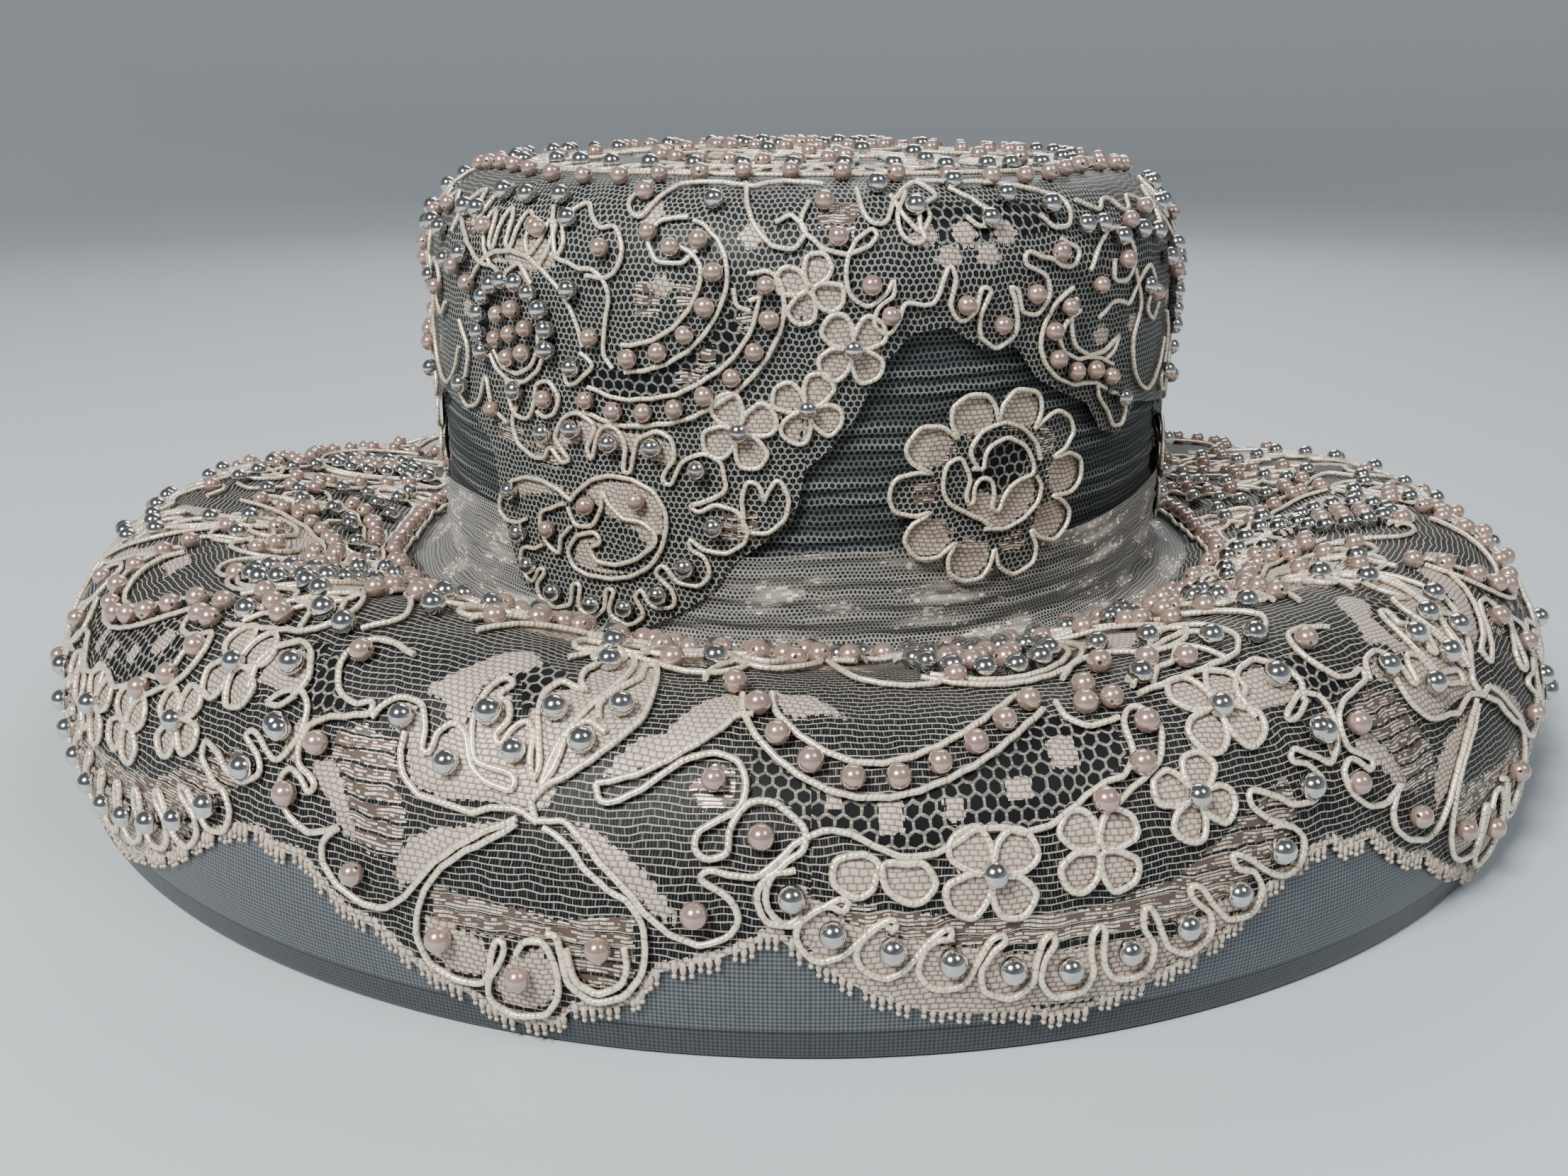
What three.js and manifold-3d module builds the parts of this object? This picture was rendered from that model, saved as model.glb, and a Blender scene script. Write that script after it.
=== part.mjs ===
// A wide-brimmed lace hat. A stiff satin crown and a rolled satin brim carry a wrap of pleated tulle,
// a gathered veil round the foot of the crown, a lace cap, three lace rosettes, and a scalloped lace
// cover on the brim. Pearls and silver beads are sewn to the lace. Millimetres, +Z up, the front is
// -Y, and the origin is the middle of the surface that the brim's edge stands on.
import * as THREE from "three";
import Module from "manifold-3d";
import { mergeVertices } from "three/addons/utils/BufferGeometryUtils.js";

const wasm = await Module();
wasm.setup();

const TURN = Math.PI * 2;
const QUARTER = Math.PI / 2;
const radians = THREE.MathUtils.degToRad;

// The crown: half sizes are inside, at the headline, the line where the head goes in.
const HEAD_HALF_WIDTH = 89;
const HEAD_HALF_LENGTH = 98.5;
const CROWN_HEIGHT = 97; // headline to the middle of the top
const CROWN_TAPER = 1; // the wall leans in this much by the shoulder
const SHOULDER_RADIUS = 17;
const TOP_RISE = 3; // the middle of the top over its rim

// The brim, and the stiffened satin that the brim and the crown are made of.
const BRIM_WIDTH = 95; // seen from above, headline to edge
const HEADLINE_HEIGHT = 35; // over the surface that the edge stands on
const RIDGE_RISE = 16; // the ridge of the roll over the headline
const SATIN = 2.4;

// Soft layers, each with its clearance to the one under it.
const CLEARANCE = 0.35;
const TULLE = 1;
const FOLD_DEPTH = 0.8; // of the tulle's pleats and the veil's gathers
const PLEATS = 4;
const PLEAT_SWAY = 5; // how far a pleat climbs and falls on its way round
const TULLE_TOP_GAP = 8; // the tulle ends this far under the shoulder
const VEIL_HEIGHT = 17; // up the wall from the headline
const VEIL_REACH = 9; // out over the brim
const LACE = 1;

// The lace on the brim, with its scallops, and on the crown, with its rosettes.
const REPEATS = 6; // of the brim's pattern, each with two scallops
const SCALLOP_DEPTH = 21;
const SCALLOP_HEM_GAP = 1.6; // from the tips to the edge of the brim
const CUT_REACH = 3; // a cut in the lace reaches this far past both its faces
const CROWN_REPEATS = 3;
const ROSETTE_RADIUS = 21.5;
const ROSETTE_PETALS = 10;
const ROSETTE_NOTCH = 4;
const ROSETTE_EYE = 3.5;
const ROSETTE_TURN = radians(24);
const ROSETTE_SHARE = 0.45; // of the wall's height, at its middle

const PEARL_RADIUS = 2.4;
const SILVER_BEAD_RADIUS = 2.2;
const BEAD_SINK = 0.6; // how far a bead sits into the lace it is sewn to
const BEAD_RING_RADIUS = 11; // of the silver beads round a pearl on the crown

// How finely the skins are faceted.
const CROWN_STEPS = 40;
const BRIM_STEPS = 60;
const BRIM_FIRST_STEP = radians(-2);
const BRIM_ROWS = 8;
const PETAL_STEPS = 3;
const BEAD_SIDES = 10;
const BEAD_RINGS = 4;
const CURVE_SAMPLES = 60;

// The brim's section from the headline out to the edge: out is a share of the brim's width,
// level a share of the headline's height and rise a share of the ridge's rise.
const BRIM_SECTION = [
  { place: "headline", out: 0.0, level: 1.0, rise: 0.0 },
  { place: "valley", out: 0.08, level: 0.98, rise: 0.02 },
  { place: "slope", out: 0.32, level: 1.0, rise: 0.5 },
  { place: "ridge", out: 0.62, level: 1.0, rise: 1.0 },
  { place: "roll", out: 0.82, level: 1.0, rise: 0.82 },
  { place: "shoulder", out: 0.955, level: 0.84, rise: 0.32 },
  { place: "bulge", out: 1.0, level: 0.42, rise: 0.0 },
  { place: "edge", out: 0.985, level: 0.0, rise: 0.0 },
];

// How the ridge swells and dips round the hat: turn in degrees from the front towards the right,
// rise a share of the ridge's rise.
const BRIM_WAVE = [
  { turn: -180, rise: -0.2 },
  { turn: -130, rise: -0.1 },
  { turn: -90, rise: 0.72 },
  { turn: -60, rise: 0.9 },
  { turn: -28, rise: 1.5 },
  { turn: -8, rise: 1.15 },
  { turn: 12, rise: 1.0 },
  { turn: 32, rise: 1.25 },
  { turn: 60, rise: 1.05 },
  { turn: 90, rise: 0.75 },
  { turn: 130, rise: 0.0 },
];

// The scallops in one repeat: up is a share of their depth, 0 at a tip.
const SCALLOPS = [
  { turn: -29.5, up: 1.0 },
  { turn: -14, up: 0.0 },
  { turn: -1, up: 0.8 },
  { turn: 13, up: 0.0 },
];

// The lower edge of the lace cap in one repeat: drop is a share of the crown's wall.
const CAP_EDGE = [
  { turn: -60, drop: 0.44 },
  { turn: -43, drop: 0.75 },
  { turn: -28, drop: 0.97 },
  { turn: -15, drop: 0.84 },
  { turn: -3, drop: 0.6 },
  { turn: 4, drop: 0.33 },
  { turn: 11, drop: 0.14 },
  { turn: 26, drop: 0.15 },
  { turn: 45, drop: 0.33 },
];

// The main beads on one repeat of the brim's lace: out is a share of the lace, crown to scallop.
const BRIM_BEADS = [
  { turn: 0.5, out: 0.6, radius: PEARL_RADIUS },
  { turn: 7, out: 0.66, radius: PEARL_RADIUS },
  { turn: -14, out: 0.9, radius: PEARL_RADIUS },
  { turn: 13, out: 0.9, radius: SILVER_BEAD_RADIUS },
];

// The rings of beads on one repeat of the crown's lace: up is a share of the wall.
const CROWN_RINGS = [
  { turn: -48, up: 0.8, ring: 0, beads: 1, radius: PEARL_RADIUS },
  { turn: -48, up: 0.8, ring: BEAD_RING_RADIUS, beads: 4, radius: SILVER_BEAD_RADIUS },
];

const CROWN_TOP = HEADLINE_HEIGHT + CROWN_HEIGHT;
const SHOULDER_HEIGHT = CROWN_TOP - TOP_RISE - SHOULDER_RADIUS;
const WALL_HEIGHT = SHOULDER_HEIGHT - HEADLINE_HEIGHT;
const BRIM_START = SATIN + CLEARANCE; // out from the head's oval, clear of the crown's wall
const CROWN_LACE_LIFT = CLEARANCE + TULLE + FOLD_DEPTH + CLEARANCE;
const CROWN_LACE_FACE = CROWN_LACE_LIFT + LACE;

const lerp = THREE.MathUtils.lerp;
const clamp = THREE.MathUtils.clamp;
const steps = (count) => Array.from({ length: count }, (_, i) => i);

// A point `out` from the head's oval, which keeps its proportions inside and grows evenly outside.
function ovalPoint(turn, out, height) {
  const inward = 1 + Math.min(0, out) / HEAD_HALF_WIDTH;
  const outward = Math.max(0, out);
  const across = HEAD_HALF_WIDTH * inward + outward;
  const along = HEAD_HALF_LENGTH * inward + outward;
  return new THREE.Vector3(across * Math.sin(turn), -along * Math.cos(turn), height);
}

// A value from a table of turns, which comes round again after `period` degrees.
function aroundTable(table, key, turn, period) {
  const first = table[0].turn;
  const degrees = THREE.MathUtils.euclideanModulo(THREE.MathUtils.radToDeg(turn) - first, period) + first;
  const next = table.findIndex((row) => row.turn > degrees);
  const to = next < 0 ? { ...table[0], turn: first + period } : table[next];
  const from = table[(next < 0 ? table.length : next) - 1];
  const share = (degrees - from.turn) / (to.turn - from.turn);
  return lerp(from[key], to[key], share * share * (3 - 2 * share));
}

// The satin wall of the crown leans out from the shoulder to the headline.
function wallOut(height) {
  return SATIN - (CROWN_TAPER * (height - HEADLINE_HEIGHT)) / WALL_HEIGHT;
}

// The crown's section outside the satin by `lift`: from the axis, over the shoulder, to `foot`.
function crownSection(lift, foot) {
  const arcOut = wallOut(SHOULDER_HEIGHT) - SHOULDER_RADIUS;
  const radius = SHOULDER_RADIUS + lift;
  const points = [
    [-HEAD_HALF_WIDTH, CROWN_TOP + lift],
    [lerp(-HEAD_HALF_WIDTH, arcOut, 0.6), CROWN_TOP + lift - 0.36 * TOP_RISE],
  ];
  for (const share of [0, 1 / 3, 2 / 3, 1]) {
    const around = QUARTER * (1 - share);
    points.push([arcOut + radius * Math.cos(around), SHOULDER_HEIGHT + radius * Math.sin(around)]);
  }
  return [...points, [wallOut(foot) + lift, foot]];
}

// The brim's satin face at one turn: evenly spaced places from the headline to the edge.
function brimCurve(turn) {
  const rise = RIDGE_RISE * aroundTable(BRIM_WAVE, "rise", turn, 360);
  const points = BRIM_SECTION.map((row) => {
    const out = lerp(BRIM_START, BRIM_WIDTH, row.out);
    return new THREE.Vector3(out, HEADLINE_HEIGHT * row.level + rise * row.rise, 0);
  });
  const curve = new THREE.CatmullRomCurve3(points, false, "centripetal");
  return { places: curve.getSpacedPoints(CURVE_SAMPLES), length: curve.getLength() };
}

// A point `along` the brim's face from the headline, and `lift` out of it. The face starts level
// and ends upright, so that both of the brim's edges are cut square.
function brimPoint(turn, curve, along, lift) {
  const at = clamp((along / curve.length) * CURVE_SAMPLES, 0, CURVE_SAMPLES);
  const cell = Math.min(Math.floor(at), CURVE_SAMPLES - 1);
  const [from, to] = [curve.places[cell], curve.places[cell + 1]];
  const place = from.clone().lerp(to, at - cell);
  const run = to.clone().sub(from).normalize();
  if (at <= 0) run.set(1, 0, 0);
  if (at >= CURVE_SAMPLES) run.set(0, -1, 0);
  return ovalPoint(turn, place.x - lift * run.y, place.y + lift * run.x);
}

// The same on the faceted brim, which bends only at its rows, so that skins lie evenly on it.
function facetPoint(turn, curve, along, lift) {
  const row = clamp((along / curve.length) * BRIM_ROWS, 0, BRIM_ROWS);
  const before = Math.min(Math.floor(row), BRIM_ROWS - 1);
  const bend = (number) => brimPoint(turn, curve, (curve.length * number) / BRIM_ROWS, lift);
  return bend(before).lerp(bend(before + 1), row - before);
}

// Where the brim's lace starts, and where its scallops end, along the brim's face.
function laceStart() {
  return SATIN + VEIL_REACH + CLEARANCE;
}

function laceEnd(turn, curve) {
  const up = SCALLOP_DEPTH * aroundTable(SCALLOPS, "up", turn, 360 / REPEATS);
  return curve.length - SCALLOP_HEM_GAP - up;
}

// Joins closed sections, one for each step round the hat, into one skin. Each quad is split along
// its shorter diagonal, which is the same one on both sides of a gap between two skins.
function loft(sections) {
  const count = sections.length;
  const size = sections[0].length;
  const points = sections.flat();
  const positions = points.flatMap((point) => point.toArray());
  const index = [];
  for (const i of steps(count)) {
    for (const j of steps(size)) {
      const a = i * size + j;
      const b = ((i + 1) % count) * size + j;
      const c = ((i + 1) % count) * size + ((j + 1) % size);
      const d = i * size + ((j + 1) % size);
      const longer = points[a].distanceTo(points[c]) > points[b].distanceTo(points[d]);
      index.push(...(longer ? [a, d, b, b, d, c] : [a, c, b, a, d, c]));
    }
  }
  const geometry = new THREE.BufferGeometry();
  geometry.setAttribute("position", new THREE.Float32BufferAttribute(positions, 3));
  geometry.setIndex(index);
  return withoutSlivers(mergeVertices(geometry, 1e-3));
}

// Drops the triangles that lose an edge where sections meet on the axis.
function withoutSlivers(geometry) {
  const index = geometry.index.array;
  const kept = [];
  for (let i = 0; i < index.length; i += 3) {
    const [a, b, c] = index.slice(i, i + 3);
    if (a !== b && b !== c && c !== a) kept.push(a, b, c);
  }
  geometry.setIndex(kept);
  return geometry;
}

// A skin over the crown's wall and top, from `low` to `high` outside the satin.
function crownSkin(low, high, foot) {
  return loft(steps(CROWN_STEPS).map((i) => {
    const turn = (TURN * i) / CROWN_STEPS;
    const outer = crownSection(high, foot(turn));
    const inner = crownSection(low, foot(turn));
    return [...outer, ...inner.reverse()].map(([out, height]) => ovalPoint(turn, out, height));
  }));
}

// A skin over the brim's face from `start` to `end` along it, and from `low` to `high` outside the
// satin. Rows that the skin doesn't reach fall together at its edge.
function brimSkin(low, high, start, end) {
  return loft(steps(BRIM_STEPS).map((i) => {
    const turn = BRIM_FIRST_STEP + (TURN * i) / BRIM_STEPS;
    const curve = brimCurve(turn);
    const rows = steps(BRIM_ROWS + 1).map((row) =>
      clamp((curve.length * row) / BRIM_ROWS, start(turn, curve), end(turn, curve)));
    const face = (lift) => rows.map((along) => facetPoint(turn, curve, along, lift));
    return [...face(high), ...face(low).reverse()];
  }));
}

function solidOf(geometry) {
  const bare = new THREE.BufferGeometry();
  bare.setAttribute("position", geometry.getAttribute("position"));
  bare.setIndex(geometry.index);
  const merged = mergeVertices(bare, 1e-3);
  const mesh = new wasm.Mesh({
    numProp: 3,
    vertProperties: merged.attributes.position.array,
    triVerts: new Uint32Array(merged.index.array),
  });
  return new wasm.Manifold(mesh);
}

function geometryOf(solid) {
  const mesh = solid.getMesh();
  const geometry = new THREE.BufferGeometry();
  geometry.setAttribute("position", new THREE.BufferAttribute(mesh.vertProperties, 3));
  geometry.setIndex(new THREE.BufferAttribute(mesh.triVerts, 1));
  return geometry;
}

// Fuses each bead to the lace that it is sewn to. A seat is the bead's radius, and a point on the
// lace and one above it: the bead sinks into the facet between them.
function sewBeads(lace, seats) {
  const target = new THREE.Mesh(geometryOf(lace));
  const beads = seats.map(({ radius, on, above }) => {
    const normal = above.clone().sub(on).normalize();
    const [facet] = new THREE.Raycaster(above, normal.clone().negate()).intersectObject(target);
    const ball = new THREE.SphereGeometry(radius, BEAD_SIDES, BEAD_RINGS);
    ball.applyQuaternion(new THREE.Quaternion().setFromUnitVectors(new THREE.Vector3(0, 1, 0), normal));
    const middle = facet.point.addScaledVector(normal, radius - BEAD_SINK);
    return ball.translate(middle.x, middle.y, middle.z);
  });
  return geometryOf(beads.reduce((sewn, ball) => sewn.add(solidOf(ball)), lace));
}

function brimSeat(row, repeat) {
  const turn = radians(row.turn) + (TURN * repeat) / REPEATS;
  const curve = brimCurve(turn);
  const along = lerp(laceStart(), laceEnd(turn, curve), row.out);
  const at = (lift) => facetPoint(turn, curve, along, CLEARANCE + LACE + lift);
  return { radius: row.radius, on: at(0), above: at(row.radius) };
}

// A point on the crown's wall: `side` along the wall from a turn, `up` from the headline.
function wallPoint(turn, side, up, lift) {
  const level = HEADLINE_HEIGHT + up;
  const reach = HEAD_HALF_WIDTH + wallOut(level);
  return ovalPoint(turn + side / reach, wallOut(level) + lift, level);
}

function crownSeat(row, repeat, i) {
  const turn = radians(row.turn) + (TURN * repeat) / CROWN_REPEATS;
  const around = (TURN * i) / row.beads;
  const side = row.ring * Math.sin(around);
  const up = row.up * WALL_HEIGHT + row.ring * Math.cos(around);
  const at = (lift) => wallPoint(turn, side, up, CROWN_LACE_FACE + lift);
  return { radius: row.radius, on: at(0), above: at(row.radius) };
}

function crownShell() {
  return crownSkin(-SATIN, 0, () => HEADLINE_HEIGHT - SATIN);
}

function brimShell() {
  return brimSkin(-SATIN, 0, () => 0, (turn, curve) => curve.length);
}

// The tulle's pleats run round the wall, each a crest between two creases.
function tulleWrap() {
  const top = SHOULDER_HEIGHT - TULLE_TOP_GAP;
  const bottom = HEADLINE_HEIGHT + VEIL_HEIGHT + CLEARANCE;
  const rows = PLEATS * 2;
  return loft(steps(CROWN_STEPS).map((i) => {
    const turn = (TURN * i) / CROWN_STEPS;
    const at = (height, lift) => ovalPoint(turn, wallOut(height) + lift, height);
    const face = steps(rows + 1).map((row) => {
      const share = row / rows;
      const sway = PLEAT_SWAY * Math.sin(turn * 2) * Math.sin(Math.PI * share);
      const crest = row % 2 ? FOLD_DEPTH : 0;
      return at(lerp(top, bottom, share) + sway, CLEARANCE + TULLE + crest);
    });
    return [...face, at(bottom, CLEARANCE), at(top, CLEARANCE)];
  }));
}

// The veil is gathered round the foot of the crown and turns out over the brim.
function veilBand() {
  const top = HEADLINE_HEIGHT + VEIL_HEIGHT;
  return loft(steps(CROWN_STEPS).map((i) => {
    const turn = (TURN * i) / CROWN_STEPS;
    const curve = brimCurve(turn);
    const gather = i % 2 ? FOLD_DEPTH : 0;
    const low = CLEARANCE;
    const high = CLEARANCE + TULLE;
    const onWall = (height, lift) => ovalPoint(turn, wallOut(height) + lift, height);
    const foot = (lift) => onWall(HEADLINE_HEIGHT + lift, lift);
    const onBrim = (lift) => facetPoint(turn, curve, SATIN + VEIL_REACH, lift);
    return [
      onWall(top, high),
      onWall((top + HEADLINE_HEIGHT) / 2, high + gather),
      foot(high + FOLD_DEPTH),
      onBrim(high),
      onBrim(low),
      foot(low),
      onWall(top, low),
    ];
  }));
}

function crownLace() {
  const drop = (turn) => aroundTable(CAP_EDGE, "drop", turn, 360 / CROWN_REPEATS);
  const foot = (turn) => SHOULDER_HEIGHT - WALL_HEIGHT * drop(turn);
  const cap = crownSkin(CROWN_LACE_LIFT, CROWN_LACE_FACE, foot);
  const seats = steps(CROWN_REPEATS).flatMap((repeat) =>
    CROWN_RINGS.flatMap((row) => steps(row.beads).map((i) => crownSeat(row, repeat, i))));
  return sewBeads(solidOf(cap), seats);
}

// A petalled ring of lace, bent round the crown's wall.
function rosette(repeat) {
  const count = ROSETTE_PETALS * PETAL_STEPS;
  const turn = ROSETTE_TURN + (TURN * repeat) / CROWN_REPEATS;
  return loft(steps(count).map((i) => {
    const around = (TURN * i) / count;
    const edge = ROSETTE_RADIUS - (i % PETAL_STEPS ? 0 : ROSETTE_NOTCH);
    const radii = [edge, (edge + ROSETTE_EYE) / 2, ROSETTE_EYE];
    const spot = (radius, lift) => {
      const up = ROSETTE_SHARE * WALL_HEIGHT + radius * Math.cos(around);
      return wallPoint(turn, radius * Math.sin(around), up, lift);
    };
    return [
      ...radii.map((radius) => spot(radius, CROWN_LACE_FACE)),
      ...radii.toReversed().map((radius) => spot(radius, CROWN_LACE_LIFT)),
    ];
  }));
}

// The scallops are cut from a cover that lies evenly on the brim down to their tips.
function brimLace() {
  const [low, high] = [CLEARANCE, CLEARANCE + LACE];
  const tips = (turn, curve) => curve.length - SCALLOP_HEM_GAP;
  const hem = (turn, curve) => curve.length;
  const cover = solidOf(brimSkin(low, high, laceStart, tips));
  const below = solidOf(brimSkin(low - CUT_REACH, high + CUT_REACH, laceEnd, hem));
  const seats = steps(REPEATS).flatMap((repeat) => BRIM_BEADS.map((row) => brimSeat(row, repeat)));
  return sewBeads(cover.subtract(below), seats);
}

const satin = new THREE.MeshStandardMaterial({ color: 0x7d8287, roughness: 0.35, metalness: 0.1 });
const tulle = new THREE.MeshStandardMaterial({ color: 0x5b6064, roughness: 0.75 });
const lace = new THREE.MeshStandardMaterial({ color: 0xb9a89a, roughness: 0.6 });
const veil = new THREE.MeshStandardMaterial({ color: 0x9c9184, roughness: 0.7 });

const hat = new THREE.Group();

function addPiece(name, geometry, material) {
  const piece = new THREE.Mesh(geometry, material);
  piece.name = name;
  hat.add(piece);
}

addPiece("crown", crownShell(), satin);
addPiece("brim", brimShell(), satin);
addPiece("tulle_wrap", tulleWrap(), tulle);
addPiece("veil_band", veilBand(), veil);
addPiece("crown_lace", crownLace(), lace);
steps(CROWN_REPEATS).forEach((repeat) => addPiece(`rosette_${repeat + 1}`, rosette(repeat), lace));
addPiece("brim_lace", brimLace(), lace);

export default hat;
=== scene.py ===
# %% [markdown]
# # A wide brim hat under corded lace
# A stiff satin hat wears four soft layers: pleated tulle round the crown, a gathered veil at its
# foot, a lace cap with three rosettes, and a scalloped lace cover on the brim. Ivory cord draws
# the pattern on the lace, and pearls and silver beads are sewn along it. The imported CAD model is
# the frame: every layer here is laid on the same curved faces, from the same sizes.

# %% The frame and the tools
import math

import bmesh
import bpy
import numpy as np
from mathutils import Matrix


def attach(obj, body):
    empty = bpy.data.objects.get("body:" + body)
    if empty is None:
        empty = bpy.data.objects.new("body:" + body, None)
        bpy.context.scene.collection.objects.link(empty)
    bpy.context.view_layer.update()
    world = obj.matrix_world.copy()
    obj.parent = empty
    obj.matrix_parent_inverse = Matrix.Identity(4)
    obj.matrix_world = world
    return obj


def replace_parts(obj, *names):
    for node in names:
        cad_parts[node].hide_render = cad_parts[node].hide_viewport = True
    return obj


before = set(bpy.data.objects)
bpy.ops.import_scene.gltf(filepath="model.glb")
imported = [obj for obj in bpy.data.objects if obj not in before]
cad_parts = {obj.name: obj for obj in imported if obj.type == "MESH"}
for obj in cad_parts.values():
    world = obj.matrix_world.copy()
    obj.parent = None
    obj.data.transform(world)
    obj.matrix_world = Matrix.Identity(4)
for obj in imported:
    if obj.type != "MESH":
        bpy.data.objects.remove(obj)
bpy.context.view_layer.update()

MM = 0.001
TAU = 2 * math.pi

# %% [markdown]
# ## The camera, the floor and the light
# The camera comes first, so that every later render is compared at the same angle: 18 degrees
# down at the front of the hat. The floor sweeps up into a low wall, the same on every side.
# Pearls and metal beads show their roundness only by what they mirror, so the light is three
# soft windows and not an even glow.

# %% Camera and studio
CAMERA_PLACE = (-4.25 * MM, -396 * MM, 146.6 * MM)
CAMERA_PITCH = math.radians(18.08)
SENSOR = 36.0
FOCAL_SHARE = 2100 / 2212  # of the picture's width
HAT_MIDDLE = np.array([0, 0, 0.06])
COVE_STEPS = 72
COVE = [  # radius and height of the floor's rings, in metres
    (0.8, 0.0), (1.5, 0.0), (1.8, 0.02), (2.05, 0.1), (2.25, 0.27), (2.36, 0.52), (2.4, 1.1),
]


def added(name, data):
    """A new object in the scene."""
    obj = bpy.data.objects.new(name, data)
    bpy.context.scene.collection.objects.link(obj)
    return obj


def even_turns(count):
    return np.arange(count) * TAU / count


def arc(x, y, reach, angles, tall=None):
    """Points round a middle, on a circle or on an oval."""
    tall = reach if tall is None else tall
    return [(x + reach * math.cos(a), y + tall * math.sin(a)) for a in angles]


camera_data = bpy.data.cameras.new("camera")
camera_data.sensor_width = SENSOR
camera_data.lens = SENSOR * FOCAL_SHARE
camera_data.clip_start = 0.01
camera = added("camera", camera_data)
camera.location = CAMERA_PLACE
camera.rotation_euler = (math.pi / 2 - CAMERA_PITCH, 0, 0)
bpy.context.scene.camera = camera


def soft_window(name, place, size, watts, colour):
    """A square area light that faces the middle of the hat."""
    data = bpy.data.lights.new(name, "AREA")
    data.shape = "SQUARE"
    data.size, data.energy, data.color = size, watts, colour
    light = added(name, data)
    light.location = place
    aim = HAT_MIDDLE - np.array(place)
    yaw = math.atan2(aim[1], aim[0]) - math.pi / 2
    pitch = math.atan2(aim[2], math.hypot(aim[0], aim[1]))
    light.rotation_euler = (math.pi / 2 + pitch, 0, yaw)


soft_window("window_left", (-0.62, -0.95, 1.15), 0.5, 48, (1.0, 0.985, 0.96))
soft_window("window_right", (0.75, -0.6, 1.1), 0.5, 7.0, (0.94, 0.97, 1.0))
soft_window("window_back", (0.15, 1.0, 1.0), 0.8, 12, (0.96, 0.98, 1.0))


def studio_floor():
    """A round floor that curves up into a low wall, so that every side has the same backdrop."""
    turns = even_turns(COVE_STEPS)
    points = [(x, y, z) for radius, z in COVE for x, y in arc(0, 0, radius, turns)]
    steps = range(COVE_STEPS)
    faces = [tuple(steps)]
    for ring in range(len(COVE) - 1):
        near, far = ring * COVE_STEPS, (ring + 1) * COVE_STEPS
        pairs = [(i, (i + 1) % COVE_STEPS) for i in steps]
        faces += [(near + i, far + i, far + n, near + n) for i, n in pairs]
    mesh = bpy.data.meshes.new("floor")
    mesh.from_pydata(points, [], faces)
    mesh.shade_smooth()
    floor = added("floor", mesh)
    paint = bpy.data.materials.new("pale floor")
    paint.use_nodes = True
    shader = paint.node_tree.nodes["Principled BSDF"]
    shader.inputs["Base Color"].default_value = (0.43, 0.47, 0.50, 1)
    shader.inputs["Roughness"].default_value = 0.6
    mesh.materials.append(paint)


studio_floor()

world = bpy.data.worlds.new("studio")
bpy.context.scene.world = world
world.use_nodes = True
sky = world.node_tree.nodes["Background"]
sky.inputs["Color"].default_value = (0.61, 0.62, 0.63, 1)
sky.inputs["Strength"].default_value = 0.24

# %% [markdown]
# ## One small class for node trees
# A finish or a Geometry Nodes tree reads best as a sum: `1 - mask`, `line + dots * 0.5`. `Wire`
# stands for one output socket and turns Python's operators into Math nodes. `Graph.node` adds
# any other node: its settings first, and then what goes into its sockets.

# %% Wires and graphs


class Wire:
    """An output socket that takes part in Python arithmetic."""

    def __init__(self, graph, socket):
        self.graph, self.socket = graph, socket

    def math(self, operation, *terms):
        return self.graph.node("ShaderNodeMath", {"operation": operation}, terms)[0]

    def __add__(self, other):
        return self.math("ADD", self, other)

    def __radd__(self, other):
        return self.math("ADD", other, self)

    def __sub__(self, other):
        return self.math("SUBTRACT", self, other)

    def __rsub__(self, other):
        return self.math("SUBTRACT", other, self)

    def __mul__(self, other):
        return self.math("MULTIPLY", self, other)

    def __rmul__(self, other):
        return self.math("MULTIPLY", other, self)

    def __truediv__(self, other):
        return self.math("DIVIDE", self, other)

    def __rtruediv__(self, other):
        return self.math("DIVIDE", other, self)

    def __gt__(self, other):
        return self.math("GREATER_THAN", self, other)

    def __lt__(self, other):
        return self.math("LESS_THAN", self, other)

    def either(self, other):
        return self.math("MAXIMUM", self, other)

    def both(self, other):
        return self.math("MINIMUM", self, other)

    def sine(self):
        return self.math("SINE", self)

    def share(self):
        return self.math("FRACT", self)

    def off_middle(self):
        """How far a value is from the middle of its whole step, 0 to 0.5."""
        return (self.share() - 0.5).size()

    def floor(self):
        return self.math("FLOOR", self)

    def size(self):
        return self.math("ABSOLUTE", self)


class Made:
    """A node that was added, whose outputs are read by name or number."""

    def __init__(self, graph, node):
        self.graph, self.node = graph, node

    def __getitem__(self, name):
        return Wire(self.graph, self.node.outputs[name])


class Graph:
    """A node tree that is built in Python."""

    def __init__(self, tree):
        self.tree = tree

    def node(self, kind, settings=None, values=()):
        made = self.tree.nodes.new(kind)
        for key, value in (settings or {}).items():
            setattr(made, key, value)
        for key, value in values.items() if isinstance(values, dict) else enumerate(values):
            if isinstance(value, Wire):
                self.tree.links.new(value.socket, made.inputs[key])
            else:
                made.inputs[key].default_value = value
        return Made(self, made)

    def mix(self, factor, first, second):
        """One of two colours, or some of both."""
        settings = {"data_type": "RGBA"}
        return self.node("ShaderNodeMix", settings, {0: factor, 6: first, 7: second})[2]

    def split(self, vector):
        """A vector's parts, read by the names X, Y and Z."""
        return self.node("ShaderNodeSeparateXYZ", {}, [vector])

    def attribute(self, name, part="Fac"):
        """What the mesh keeps at each point, for a finish."""
        return self.node("ShaderNodeAttribute", {"attribute_name": name})[part]

    def object_place(self):
        return self.node("ShaderNodeTexCoord")["Object"]


def rgb(*screen):
    """A colour from its red, green and blue screen values, 0 to 255."""
    linear = [((v / 255 + 0.055) / 1.055) ** 2.4 if v > 10 else v / 255 / 12.92 for v in screen]
    return (*linear, 1.0)


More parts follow.
